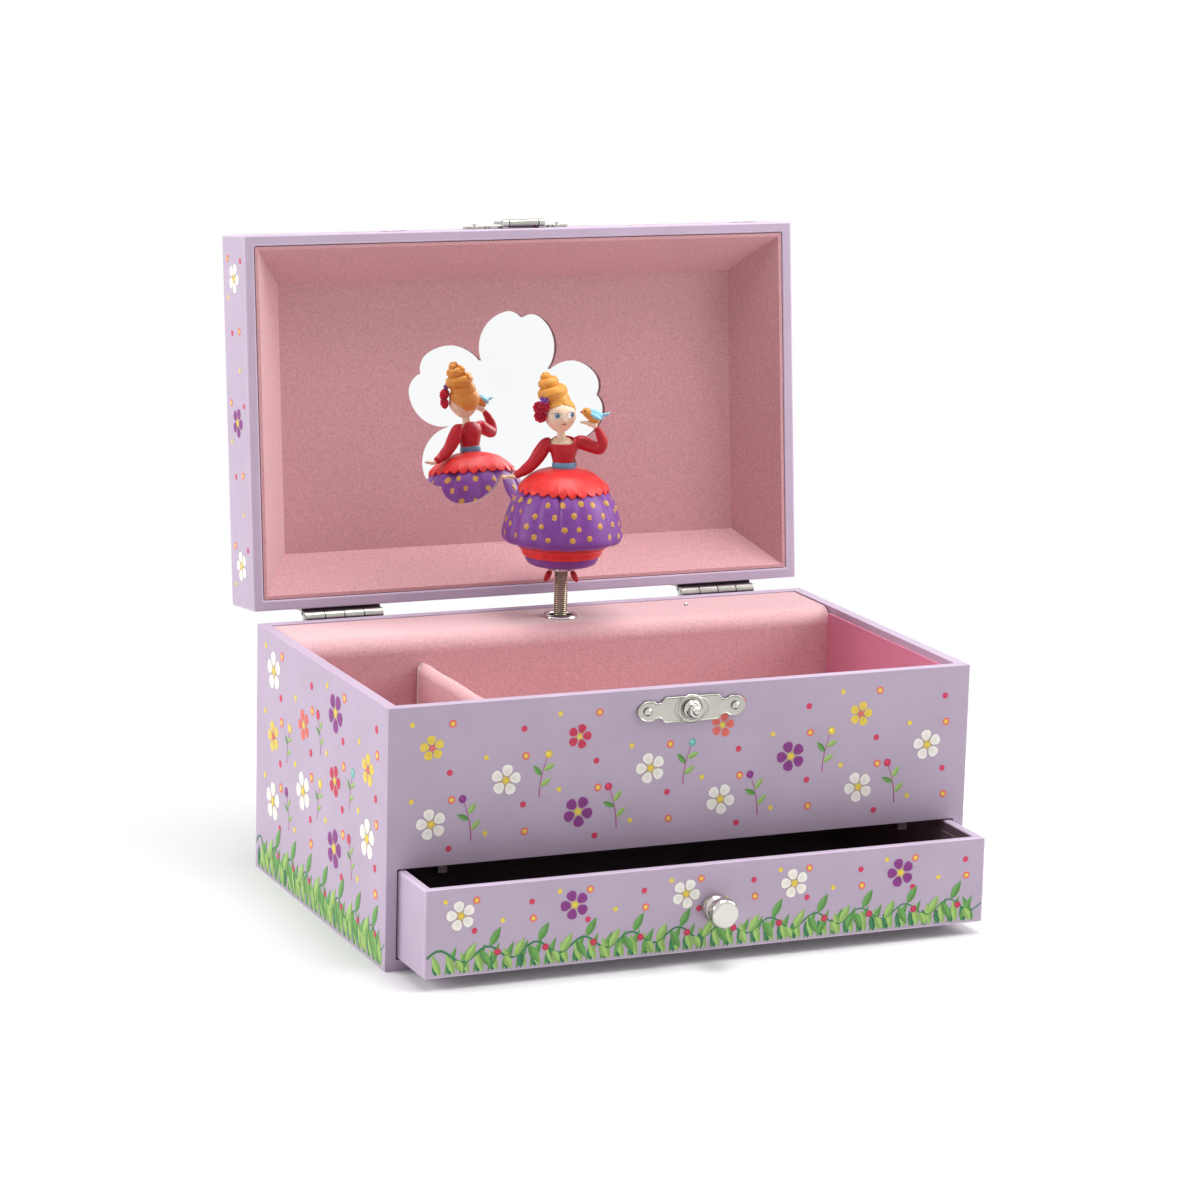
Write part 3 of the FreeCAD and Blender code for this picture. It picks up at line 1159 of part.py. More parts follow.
def torso_shape():
    """Bodice with shoulders and neck, one arm down to the side and one raised."""
    ellipses = [Part.Ellipse(Vector(0, 0, z), half_width, half_depth) for z, half_width, half_depth in BODICE]
    bodice = Part.makeLoft([Part.Wire(ellipse.toShape()) for ellipse in ellipses], True, False)
    neck = Part.makeCone(S.neck_foot_radius, S.neck_radius, S.neck_length, Vector(S.neck_lean, 0, S.neck_low))
    return bodice.fuse([neck, limb(RAISED_ARM), limb(LOWERED_ARM)])


def head_shape():
    """Head under a swirled beehive of hair that leans to the side, with a rose over one ear."""
    rounds = [Part.makeSphere(radius, Vector(x, y, z)) for x, y, z, radius in HAIR_ROLLS + [HAIR_ROSE]]
    return limb(FACE).fuse(rounds)


def make_stop_pin():
    """Upright stop button in the deck, with a foot that keeps it from coming out."""
    foot = "deck_top - cover_card - stop_foot"
    profile = [("0", "deck_top - stop_length"), ("stop_radius", "deck_top - stop_length"),
               ("stop_radius", foot + " - 0.8"),
               ("stop_foot_radius", foot + " - 0.8"), ("stop_foot_radius", foot), ("stop_radius", foot),
               ("stop_radius", "deck_top + 0.6"), ("stop_radius * 0.5", "deck_top + 0.9"),
               ("0", "deck_top + 0.9")]
    keep(at(turned("stop_pin", profile), "stop_x", "stop_y"), "stop_pin")


def check_shapes():
    doc.recompute()
    for item in doc.Objects:
        if "Invalid" in item.State or "Error" in item.State:
            raise RuntimeError("%s did not rebuild: %s" % (item.Name, item.State))
    for piece in parts:
        if piece.Shape.isNull() or not piece.Shape.isValid() or not piece.Shape.Solids:
            raise RuntimeError("%s has no valid solid" % piece.Label)


def swing_lid_open():
    """Turn every closed-lid piece about the hinge pins to the lid's resting angle."""
    doc.recompute()
    hinge = Vector(0, S.box_depth / 2 + S.hinge_offset, S.box_height + S.lid_gap / 2)
    swing = Placement(Vector(0, 0, 0), Rotation(Vector(1, 0, 0), -S.open_angle), hinge)
    for piece in lid_parts:
        for name in "xyz":
            piece.setExpression("Placement.Base." + name, None)
        piece.Placement = swing.multiply(piece.Placement)


def write_parts():
    os.makedirs("parts", exist_ok=True)
    for piece in parts:
        piece.Shape.exportStep("parts/%s.step" % piece.Label)


make_case()
make_drawer_tabs()
make_linings()
make_mechanism_cover()
make_divider()
make_ferrule()
make_drawer()
make_knob()
make_lid()
make_hinges()
make_catch()
make_hasp()
make_main_wheel()
make_bedplate()
make_drum()
make_cylinder()
make_comb()
make_governor()
make_spindle()
make_spring()
make_dancer()
make_stop_pin()
swing_lid_open()
check_shapes()
write_parts()
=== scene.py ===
import bmesh
import bpy
import math
import random
from mathutils import Matrix, Vector
from mathutils.bvhtree import BVHTree


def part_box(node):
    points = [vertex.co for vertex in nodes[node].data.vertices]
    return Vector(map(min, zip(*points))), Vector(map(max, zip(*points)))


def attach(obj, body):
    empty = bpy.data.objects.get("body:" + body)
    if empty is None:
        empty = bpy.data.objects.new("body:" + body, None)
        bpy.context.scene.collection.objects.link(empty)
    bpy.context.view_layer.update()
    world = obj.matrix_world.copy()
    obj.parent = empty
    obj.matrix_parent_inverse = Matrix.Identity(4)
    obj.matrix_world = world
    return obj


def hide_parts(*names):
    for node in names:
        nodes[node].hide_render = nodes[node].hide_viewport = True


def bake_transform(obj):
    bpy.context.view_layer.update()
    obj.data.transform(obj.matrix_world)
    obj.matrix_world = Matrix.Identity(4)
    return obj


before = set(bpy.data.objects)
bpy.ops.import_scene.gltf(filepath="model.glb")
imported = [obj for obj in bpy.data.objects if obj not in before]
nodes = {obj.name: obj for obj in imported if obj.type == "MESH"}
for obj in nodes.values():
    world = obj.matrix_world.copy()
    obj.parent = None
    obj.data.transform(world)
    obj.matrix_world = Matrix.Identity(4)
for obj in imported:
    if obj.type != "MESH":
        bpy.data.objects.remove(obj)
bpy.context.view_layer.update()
scene = bpy.context.scene
MM = 0.001
TURN = 2 * math.pi

# Sizes of the box in millimetres, as in the CAD
HALF_WIDTH, HALF_DEPTH, CASE_HEIGHT = 90.0, 56.0, 75.0
BOARD = 3.2
SHELF_LOW, SHELF_HIGH = 29.2, 31.7
LID_LOW, LID_HEIGHT = 75.6, 21.0
LID_HIGH = LID_LOW + LID_HEIGHT
HINGE_Y, HINGE_Z, OPEN_DEGREES = 58.6, 75.3, 96.2
DRAWER_HALF, DRAWER_FRONT, DRAWER_BACK = 86.3, -76.7, 30.8
DRAWER_LOW, DRAWER_HEIGHT = 3.6, 25.1
DRAWER_HIGH = DRAWER_LOW + DRAWER_HEIGHT
KNOB_Z = 16.4
CATCH_X, CATCH_Z = 1.0, 68.6
SPINDLE_X, SPINDLE_Y, DECK_TOP, KEY_Z = 1.8, 41.5, 74.6, 47.0


def srgb(red, green, blue):
    """Linear colour of an 8-bit display colour."""
    def linear(channel):
        share = channel / 255
        return share / 12.92 if share <= 0.04045 else ((share + 0.055) / 1.055) ** 2.4
    return (linear(red), linear(green), linear(blue), 1.0)


def shade(colour, factor):
    """The same colour darker or lighter, held to white."""
    return tuple(min(channel * factor, 1) for channel in colour[:3]) + (1.0,)


# Materials

PURE_WHITE = (1.0, 1.0, 1.0, 1.0)
PAPER_FIBRE = (2600, 2600, 900)
FINE_RELIEF = 0.00004


class Nodes:
    """A material under construction."""

    def __init__(self, name):
        self.material = bpy.data.materials.new(name)
        self.material.use_nodes = True
        self.tree = self.material.node_tree
        self.shader = self.tree.nodes["Principled BSDF"]
        self.coordinates = self.add("ShaderNodeTexCoord").outputs["Object"]

    def add(self, kind, **settings):
        node = self.tree.nodes.new(kind)
        for key, setting in settings.items():
            setattr(node, key, setting)
        return node

    def link(self, source, target):
        self.tree.links.new(source, target)

    def set(self, **values):
        for key, setting in values.items():
            self.shader.inputs[key.replace("_", " ")].default_value = setting

    def filled(self, kind, **values):
        """A node with values written into its inputs."""
        node = self.add(kind)
        for key, setting in values.items():
            node.inputs[key.replace("_", " ")].default_value = setting
        return node

    def noise(self, scale, detail=4.0, roughness=0.6, stretch=None):
        node = self.filled("ShaderNodeTexNoise", Scale=scale, Detail=detail, Roughness=roughness)
        vector = self.coordinates
        if stretch:
            mapping = self.filled("ShaderNodeMapping", Scale=stretch)
            self.link(vector, mapping.inputs["Vector"])
            vector = mapping.outputs["Vector"]
        self.link(vector, node.inputs["Vector"])
        return node.outputs["Fac"]

    def span(self, value, low, high, start=0.3, end=0.7):
        node = self.filled("ShaderNodeMapRange", From_Min=start, From_Max=end, To_Min=low, To_Max=high)
        self.link(value, node.inputs["Value"])
        return node.outputs["Result"]

    def ramp(self, value, *stops):
        node = self.add("ShaderNodeValToRGB")
        for element, (place, colour) in zip(node.color_ramp.elements, stops):
            element.position = place
            element.color = colour
        self.link(value, node.inputs["Fac"])
        return node.outputs["Color"]

    def mix(self, factor, first, second, blend="MIX"):
        node = self.add("ShaderNodeMix", data_type="RGBA", blend_type=blend)
        for socket, entry in ((node.inputs[0], factor), (node.inputs[6], first), (node.inputs[7], second)):
            if isinstance(entry, (int, float, tuple)):
                socket.default_value = entry
            else:
                self.link(entry, socket)
        return node.outputs[2]

    def tint(self):
        """The colour stored with each point."""
        return self.add("ShaderNodeAttribute", attribute_name="tint").outputs["Color"]

    def bump(self, height, strength, distance):
        node = self.filled("ShaderNodeBump", Strength=strength, Distance=distance)
        self.link(height, node.inputs["Height"])
        self.link(node.outputs["Normal"], self.shader.inputs["Normal"])

    def colour(self, source):
        self.link(source, self.shader.inputs["Base Color"])

    def roughness(self, source):
        self.link(source, self.shader.inputs["Roughness"])


def paper_material(name, colour, wear=0.0):
    """Coated wrapping paper: soft mottling, fine fibres, and extra pale flecks for a rubbed edge where wear
    is given.
    """
    build = Nodes(name)
    fibre = build.noise(1.0, 3, 0.7, PAPER_FIBRE)
    cloud = build.noise(60, 3)
    base = build.ramp(cloud, (0.35, shade(colour, 0.965)), (0.65, shade(colour, 1.03)))
    flecks = build.span(fibre, 0.0, 0.12 + wear)
    build.colour(build.mix(flecks, base, shade(colour, 1.22)))
    build.roughness(build.span(fibre, 0.42, 0.58))
    build.bump(fibre, 0.12, FINE_RELIEF)
    build.set(Specular_IOR_Level=0.22)
    return build.material


def print_material(name):
    """Ink on the same paper, coloured per point."""
    build = Nodes(name)
    fibre = build.noise(1.0, 3, 0.7, PAPER_FIBRE)
    wash = build.noise(420, 3)
    build.colour(build.mix(build.span(wash, 0.0, 0.22), build.tint(), PURE_WHITE, "SOFT_LIGHT"))
    build.roughness(build.span(fibre, 0.4, 0.55))
    build.bump(fibre, 0.1, FINE_RELIEF)
    build.set(Specular_IOR_Level=0.22)
    return build.material


def felt_material(name, colour, grain=1.0):
    """Flocked card: short matted fibres with a soft sheen."""
    build = Nodes(name)
    nap = build.noise(1500, 6, 0.72)
    fibre = build.noise(5200, 2, 0.6)
    patch = build.noise(45, 2)
    base = build.ramp(nap, (0.36, shade(colour, 1 - 0.2 * grain)), (0.64, shade(colour, 1 + 0.14 * grain)))
    base = build.mix(build.span(fibre, 0.0, 0.16), base, shade(colour, 1.3))
    build.colour(build.mix(build.span(patch, 0.0, 0.12), base, shade(colour, 0.84)))
    build.bump(build.mix(0.35, nap, fibre), 0.45 * grain, 0.00022)
    pale = tuple(0.85 + 0.15 * channel for channel in colour[:3]) + (1.0,)
    build.set(Roughness=0.66, Sheen_Weight=0.9 * grain, Sheen_Roughness=0.35, Sheen_Tint=pale,
              Specular_IOR_Level=0.5)
    return build.material


def metal_material(name, colour, low, high, grain=0.05, brushed=None):
    """Plated or bare metal with painted shade darkening its hollows, and roughness from low to high."""
    build = Nodes(name)
    wear = build.noise(160, 4)
    fine = build.noise(2400, 3, 0.6, brushed)
    bright = build.ramp(wear, (0.3, shade(colour, 0.92)), (0.7, shade(colour, 1.05)))
    # Painted shade: ambient occlusion darkens the metal towards a dark tone in hollows and creases.
    hollow = build.add("ShaderNodeAmbientOcclusion", samples=8)
    hollow.inputs["Distance"].default_value = 1.6 * MM
    painted_shade_mix = build.span(hollow.outputs["AO"], 0.0, 1.0, 0.25, 0.85)
    build.colour(build.mix(painted_shade_mix, shade(colour, 0.28), bright))
    build.roughness(build.span(build.mix(0.5, wear, fine), low, high))
    build.bump(fine, grain, FINE_RELIEF)
    build.set(Metallic=1.0)
    return build.material


def paint_material(name, colour, gloss=0.42, depth=0.14, soften=0.0):
    """Hand-painted resin: slightly uneven coats with brush marks."""
    build = Nodes(name)
    coat = build.noise(380, 4, 0.6)
    strokes = build.noise(1.0, 3, 0.6, (2600, 2600, 500))
    base = build.ramp(coat, (0.32, shade(colour, 1 - depth)), (0.68, shade(colour, 1 + depth)))
    build.colour(build.mix(build.span(strokes, 0.0, 0.12), base, shade(colour, 1.3)))
    build.roughness(build.span(strokes, gloss - 0.06, gloss + 0.08))
    build.bump(strokes, 0.1, 0.00006)
    build.set(Subsurface_Weight=soften, Subsurface_Scale=0.0006, Specular_IOR_Level=0.4)
    return build.material


def tinted_paint(name, gloss=0.42):
    """Painted detail coloured per point."""
    build = Nodes(name)
    strokes = build.noise(1.0, 3, 0.6, (2600, 2600, 700))
    build.colour(build.mix(build.span(strokes, 0.0, 0.2), build.tint(), PURE_WHITE, "SOFT_LIGHT"))
    build.roughness(build.span(strokes, gloss - 0.06, gloss + 0.08))
    build.bump(strokes, 0.08, 0.00005)
    return build.material


def smooth_material(name, haze_scale, detail, dark, pale, low, high, **settings):
    """Smooth glass or plastic with a faint haze, with roughness from low to high."""
    build = Nodes(name)
    haze = build.noise(haze_scale, detail)
    build.colour(build.ramp(haze, (0.3, dark), (0.7, pale)))
    build.roughness(build.span(haze, low, high))
    build.set(**settings)
    return build.material


LAVENDER = srgb(188, 171, 192)
FELT_PINK = srgb(203, 150, 155)
SKIN = srgb(240, 212, 184)
paper = paper_material("lavender_paper", LAVENDER)
# Lighter lavender for the folded edges: a painted highlight, with extra rubbed flecks from wear.
edge_highlight_paper = paper_material("lavender_edge_highlight_paper", shade(LAVENDER, 1.22), 0.12)
# Slightly lighter copy of the lavender paper for the lid's rim: painted light.
rim_lit_paper = paper_material("lavender_rim_lit_paper", shade(LAVENDER, 1.04))
ink = print_material("paper_print")
felt = felt_material("pink_felt", FELT_PINK)
# Paler copy of the pink felt for the cover and compartment floor: painted light on the same fabric.
inner_lit_felt = felt_material("pink_inner_lit_felt", srgb(218, 171, 175))
# Paler copy of the pink felt for the divider pad: painted light, with slightly weaker grain.
pad_lit_felt = felt_material("pink_pad_lit_felt", srgb(214, 168, 171), 0.9)
plum = felt_material("plum_lining", srgb(122, 96, 106), 0.6)
pink_paper = paper_material("pink_lining_paper", srgb(212, 134, 160))
# Dark brown for the mirror's cut card edge: painted shade in place of the shadow gap.
edge_shade_card = paper_material("painted_shade_cut_edge", srgb(92, 62, 60))
nickel = metal_material("nickel_plate", (0.45, 0.435, 0.4, 1), 0.16, 0.3)
nickel_stamped = metal_material("nickel_stamped", (0.54, 0.53, 0.475, 1), 0.24, 0.4, 0.25)
nickel_bright = metal_material("nickel_bright", (0.6, 0.585, 0.545, 1), 0.025, 0.07, 0.01)
spring_wire = metal_material("spring_wire", (0.5, 0.42, 0.33, 1), 0.14, 0.26)
brass = metal_material("brass", (0.72, 0.52, 0.24, 1), 0.2, 0.36, 0.08)
steel = metal_material("steel", (0.58, 0.57, 0.56, 1), 0.2, 0.36, 0.08, (1, 1, 6))
zinc = metal_material("zinc_casting", (0.5, 0.5, 0.51, 1), 0.38, 0.55, 0.35)
mirror_silver = smooth_material("mirror_silver", 30, 3, (0.93, 0.94, 0.945, 1), (0.96, 0.965, 0.97, 1),
                                0.012, 0.03, Metallic=1.0)
clear_tab = smooth_material("clear_tab", 900, 4, (0.9, 0.88, 0.88, 1), (0.97, 0.96, 0.96, 1),
                            0.08, 0.22, Transmission_Weight=0.85, IOR=1.49)
purple_paint = paint_material("skirt_purple", srgb(122, 62, 148), 0.42)
red_paint = paint_material("bodice_red", srgb(186, 24, 40), 0.4)
scarlet_paint = paint_material("peplum_red", srgb(222, 48, 46), 0.42)
belt_paint = paint_material("belt_blue", srgb(104, 148, 178), 0.4)
skin_paint = paint_material("skin", SKIN, 0.44, 0.05, 0.2)
hair_paint = paint_material("hair_gold", srgb(226, 156, 68), 0.4, 0.12)
rose_paint = paint_material("rose_red", srgb(206, 40, 70), 0.4, 0.2)
gold_paint = paint_material("gold_dots", srgb(200, 150, 66), 0.36, 0.1)
violet_paint = paint_material("violet_flower", srgb(140, 84, 176), 0.4, 0.2)
robin_paint = paint_material("bird_breast", srgb(214, 142, 62), 0.42)
wing_paint = paint_material("bird_wing", srgb(142, 204, 226), 0.42)
detail_paint = tinted_paint("painted_details")


# Mesh helpers

def new_object(name, data):
    piece = bpy.data.objects.new(name, data)
    scene.collection.objects.link(piece)
    return piece


def solid(name, points, faces, material, smooth=True):
    """A mesh from points in millimetres."""
    mesh = bpy.data.meshes.new(name)
    mesh.from_pydata([Vector(point) * MM for point in points], [], faces)
    mesh.materials.append(material)
    for polygon in mesh.polygons:
        polygon.use_smooth = smooth
    return new_object(name, mesh)


def outward(piece):
    """Turn all faces to the outside."""
    work = bmesh.new()
    work.from_mesh(piece.data)
    bmesh.ops.recalc_face_normals(work, faces=work.faces)
    work.to_mesh(piece.data)
    work.free()
    return piece


def baked(piece):
    """Apply the modifiers of a new piece."""
    depsgraph = bpy.context.evaluated_depsgraph_get()
    mesh = bpy.data.meshes.new_from_object(piece.evaluated_get(depsgraph), depsgraph=depsgraph)
    piece.modifiers.clear()
    piece.data = mesh
    return piece


def carved(piece, tools):
    """Cut tools out of a new piece and drop them."""
    for tool in tools:
        taken = piece.modifiers.new("cut", "BOOLEAN")
        taken.operation = "DIFFERENCE"
        taken.solver = "EXACT"
        taken.object = tool
    baked(piece)
    for tool in tools:
        bpy.data.objects.remove(tool)
    return piece


def thickened(piece, thickness):
    """Give an open skin its thickness."""
    thick = piece.modifiers.new("thick", "SOLIDIFY")
    thick.thickness = thickness * MM
    thick.offset = -1
    return baked(piece)


def add_bevel(piece, width, segments, degrees):
    """Soften the edges that are sharper than an angle."""
    fold = piece.modifiers.new("fold", "BEVEL")
    fold.width = width * MM
    fold.segments = segments
    fold.limit_method = "ANGLE"
    fold.angle_limit = math.radians(degrees)
    return fold


def tinted(piece, tints):
    """Store one colour with each point."""
    layer = piece.data.color_attributes.new("tint", "FLOAT_COLOR", "POINT")
    for entry, tint in zip(layer.data, tints):
        entry.color = tint
    return piece


def settle(piece, body, slot, *replaced):
    """Hang a finished piece on its body and hide the CAD solids that it stands for."""
    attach(piece, body)
    if replaced:
        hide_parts(*replaced)
    return piece


def quads(rows, count, closed=True, start=0):
    """Four-sided faces between neighbouring rows of points."""
    faces = []
    for row in range(rows - 1):
        low = start + row * count
        high = low + count
        for n in range(count if closed else count - 1):
            after = (n + 1) % count
            faces.append((low + n, low + after, high + after, high + n))
    return faces


def capped(points, faces, count):
    """Close the first and the last row of points."""
    last = len(points) - count
    return faces + [tuple(range(count))[::-1], tuple(range(last, last + count))]


def lathe(profile, segments, wave=None):
    """Points and faces of a turned form about Z from (radius, height) pairs."""
    points = []
    for radius, height in profile:
        for n in range(segments):
            angle = TURN * n / segments
            reach, lift = wave(radius, height, angle) if wave else (radius, height)
            points.append((reach * math.sin(angle), -reach * math.cos(angle), lift))
    return points, quads(len(profile), segments)


def rounded(profile, radius, steps=4):
    """Round the corners of an open profile."""
    longest_share = 0.45
    result = [profile[0]]
    for before, corner, after in zip(profile, profile[1:], profile[2:]):
        corner_at = Vector(corner)
        first = Vector(before) - corner_at
        second = Vector(after) - corner_at
        reach = min(radius, first.length * longest_share, second.length * longest_share)
        if reach < 1e-4:
            result.append(corner)
            continue
        start = corner_at + first.normalized() * reach
        end = corner_at + second.normalized() * reach
        for step in range(steps + 1):
            share = step / steps
            point = start * (1 - share) ** 2 + corner_at * 2 * share * (1 - share) + end * share ** 2
            result.append((point.x, point.y))
    result.append(profile[-1])
    return result


def turned_skin(name, profile, segments, material, wave=None):
    """Open turned form about Z."""
    points, faces = lathe(profile, segments, wave)
    return outward(solid(name, points, faces, material))


def turned_piece(name, profile, segments, material, place, round_by):
    """Closed turned form with rounded corners that points out of the front."""
    points, faces = lathe(rounded(profile, round_by), segments)
    piece = solid(name, points, capped(points, faces, segments), material)
    piece.data.transform(Matrix.Translation(Vector(place) * MM) @ FACING_FRONT)
    return outward(piece)


def tube(path, radius_at, segments, ripple=None):
    """Points and faces of a round tube along a path, with one radius for each of its points."""
    points = []
    side = None
    count = len(path)
    for number, centre in enumerate(path):
        ahead = (path[min(number + 1, count - 1)] - path[max(number - 1, 0)]).normalized()
        if side is None:
            side = ahead.orthogonal().normalized()
        side = (side - ahead * side.dot(ahead)).normalized()
        up = ahead.cross(side)
        for step in range(segments):
            angle = TURN * step / segments
            radius = radius_at[number] * (ripple(angle, number / (count - 1)) if ripple else 1)
            points.append(centre + (side * math.cos(angle) + up * math.sin(angle)) * radius)
    return points, capped(points, quads(count, segments), segments)


def spline(knots, steps):
    """Catmull-Rom points through knots of any length."""
    result = []
    last = len(knots) - 1
    for number in range(last):
        window = [knots[max(number - 1, 0)], knots[number], knots[number + 1], knots[min(number + 2, last)]]
        for step in range(steps):
            t = step / steps
            weights = (-0.5 * t + t * t - 0.5 * t ** 3, 1 - 2.5 * t * t + 1.5 * t ** 3,
                       0.5 * t + 2 * t * t - 1.5 * t ** 3, -0.5 * t * t + 0.5 * t ** 3)
            result.append([sum(w * knot[axis] for w, knot in zip(weights, window))
                           for axis in range(len(knots[0]))])
    result.append(list(knots[-1]))
    return result


def joined(name, shapes, material):
    """One piece of several (points, faces) shapes."""
    points, faces = [], []
    for more_points, more_faces in shapes:
        first = len(points)
        points += [tuple(point) for point in more_points]
        faces += [tuple(first + index for index in face) for face in more_faces]
    return solid(name, points, faces, material)


def ball(centre, radius, stretch=(1, 1, 1), rings=10, segments=16):
    centre = Vector(centre)
    profile = [(math.sin(math.pi * row / rings), -math.cos(math.pi * row / rings)) for row in range(1, rings)]
    points, faces = lathe(profile, segments)
    faces = capped(points, faces, segments)
    return [centre + Vector([p * s * radius for p, s in zip(point, stretch)]) for point in points], faces


def chain(*knots, steps=7):
    """Overlapping balls along a limb of (x, y, z, radius) knots."""
    return [ball(knot[:3], knot[3]) for knot in spline(knots, steps)]


def melted(piece, voxel, smoothing):
    """Join overlapping forms into one softly blended skin."""
    remesh = piece.modifiers.new("join", "REMESH")
    remesh.mode = "VOXEL"
    remesh.voxel_size = voxel * MM
    remesh.use_smooth_shade = True
    soften = piece.modifiers.new("soften", "SMOOTH")
    soften.factor = 0.5
    soften.iterations = smoothing
    return baked(piece)


FACING_FRONT = Matrix.Rotation(math.radians(90), 4, "X")
BOX_FACES = [(0, 2, 3, 1), (4, 5, 7, 6), (0, 1, 5, 4), (2, 6, 7, 3), (0, 4, 6, 2), (1, 3, 7, 5)]


def block(name, low, high, material, smooth=False):
    """Plain box between two corners."""
    points = [(x, y, z) for z in (low[2], high[2]) for y in (low[1], high[1]) for x in (low[0], high[0])]
    return solid(name, points, BOX_FACES, material, smooth)


# Case, lid and drawer in wrapped paper

INSIDE_X, INSIDE_Y = HALF_WIDTH - BOARD, HALF_DEPTH - BOARD
OVERSHOOT = 5
FLAT, FOLD, EXTRA = range(3)
BORE_SEGMENTS, BORE_LENGTH = 32, 12
hinge = Vector((0, HINGE_Y, HINGE_Z)) * MM
OPEN_LID = (Matrix.Translation(hinge) @ Matrix.Rotation(math.radians(-OPEN_DEGREES), 4, "X")
            @ Matrix.Translation(-hinge))


def cut_shell(name, low, high, hollows, bores, bevel, materials):
    """A wrapped board box: hollows cut out of a block, round bores along Y, and softly folded edges."""
    shell = block(name, low, high, materials[FLAT])
    for material in materials[1:]:
        shell.data.materials.append(material)
    tools = []
    for number, (inner_low, inner_high) in enumerate(hollows):
        tools.append(block("%s_tool_%d" % (name, number), inner_low, inner_high, materials[FLAT], True))
    for number, (centre, radius) in enumerate(bores):
        points, faces = lathe([(radius, -BORE_LENGTH / 2), (radius, BORE_LENGTH / 2)], BORE_SEGMENTS)
        points = [(x + centre[0], z + centre[1], -y + centre[2]) for x, y, z in points]
        faces = capped(points, faces, BORE_SEGMENTS)
        tools.append(outward(solid("%s_bore_%d" % (name, number), points, faces, materials[FLAT])))
    carved(shell, tools)
    # The folded edges take the second material, which on the wrapped shells is a lighter lavender: a painted
    # highlight.
    add_bevel(shell, bevel, 3, 40).material = FOLD
    baked(shell)
    for polygon in shell.data.polygons:
        polygon.use_smooth = polygon.material_index == FOLD
    return shell


def wrap_case():
    """Tray above, bay for the drawer below, and holes in the back for the key and the movement's screws."""
    tray = ((-INSIDE_X, -INSIDE_Y, SHELF_HIGH), (INSIDE_X, INSIDE_Y, CASE_HEIGHT + OVERSHOOT))
    drawer_bay = ((-INSIDE_X, -HALF_DEPTH - OVERSHOOT, BOARD), (INSIDE_X, INSIDE_Y, SHELF_LOW))
    key_hole, screw_hole = 3.2, 1.3
    middle = HALF_DEPTH - BOARD / 2
    bores = [((SPINDLE_X, middle, KEY_Z), key_hole)]
    for across, up in ((-8.0, 67.4), (54.0, 37.4), (25.8, 37.4)):
        bores.append(((across, middle, up), screw_hole))
    shell = cut_shell("case_wrapped", (-HALF_WIDTH, -HALF_DEPTH, 0), (HALF_WIDTH, HALF_DEPTH, CASE_HEIGHT),
                      [tray, drawer_bay], bores, 0.55, (paper, edge_highlight_paper))
    settle(shell, "case", "wrapped_board", "base_panel", "left_side", "right_side", "front_fascia",
           "back_panel", "drawer_shelf")


def wrap_lid():
    """The lid is made closed, its rim gets a lighter copy of the paper as painted light, and then it opens.
    """
    hollow = ((-INSIDE_X, -INSIDE_Y, LID_LOW - OVERSHOOT), (INSIDE_X, INSIDE_Y, LID_HIGH - BOARD))
    shell = cut_shell("lid_wrapped", (-HALF_WIDTH, -HALF_DEPTH, LID_LOW), (HALF_WIDTH, HALF_DEPTH, LID_HIGH),
                      [hollow], [], 0.55, (paper, edge_highlight_paper, rim_lit_paper))
    # The rim's downward faces take the lighter paper copy: painted light.
    for polygon in shell.data.polygons:
        low_face = polygon.normal.z < -0.9 and polygon.center.z < (LID_LOW + 0.4) * MM
        if polygon.material_index == FLAT and low_face:
            polygon.material_index = EXTRA
    shell.data.transform(OPEN_LID)
    settle(shell, "lid", "wrapped_board", "lid_top", "lid_left_wall", "lid_right_wall", "lid_front_wall",
           "lid_back_wall")


def wrap_drawer():
    """The drawer's inner faces get the plum lining."""
    side, front, floor, slack = 2.5, 3.0, 2.0, 0.1
    inside_x, inside_low = DRAWER_HALF - side, DRAWER_LOW + floor
    inside_front, inside_back = DRAWER_FRONT + front, DRAWER_BACK - side
    hollow = ((-inside_x, inside_front, inside_low), (inside_x, inside_back, DRAWER_HIGH + OVERSHOOT))
    shell = cut_shell("drawer_wrapped", (-DRAWER_HALF, DRAWER_FRONT, DRAWER_LOW),
                      (DRAWER_HALF, DRAWER_BACK, DRAWER_HIGH), [hollow],
                      [((0, DRAWER_FRONT + front / 2, KNOB_Z), 1.6)], 0.5, (paper, edge_highlight_paper, plum))
    for polygon in shell.data.polygons:
        middle = polygon.center / MM
        within = abs(middle.x) < inside_x + slack and inside_front - slack < middle.y < inside_back + slack
        if polygon.material_index == FLAT and within and inside_low - slack < middle.z < DRAWER_HIGH - 0.4:
            polygon.material_index = EXTRA
    settle(shell, "drawer", "wrapped_board", "drawer_front_board", "drawer_left_side", "drawer_right_side",
           "drawer_back_board", "drawer_bottom")


wrap_case()
wrap_lid()
wrap_drawer()


# Blossom print in a half-drop repeat

WHITE = srgb(250, 246, 236)
BUTTER = srgb(238, 208, 84)
CHERRY = srgb(206, 62, 92)
CORAL = srgb(232, 112, 104)
VIOLET = srgb(140, 62, 136)
TEAL = srgb(120, 188, 180)
LEAF = srgb(104, 160, 84)
LEAF_DARK = srgb(62, 124, 84)
LEAF_PALE = srgb(158, 196, 108)
STEM = srgb(176, 92, 146)
PETAL_COLOURS = (WHITE, CHERRY, WHITE, BUTTER, VIOLET, CORAL)
BUD_COLOURS = (VIOLET, BUTTER, CHERRY, TEAL)
INK_LIFT, LAYER_STEP, SHAPE_STEP = 0.03, 0.016, 0.0012


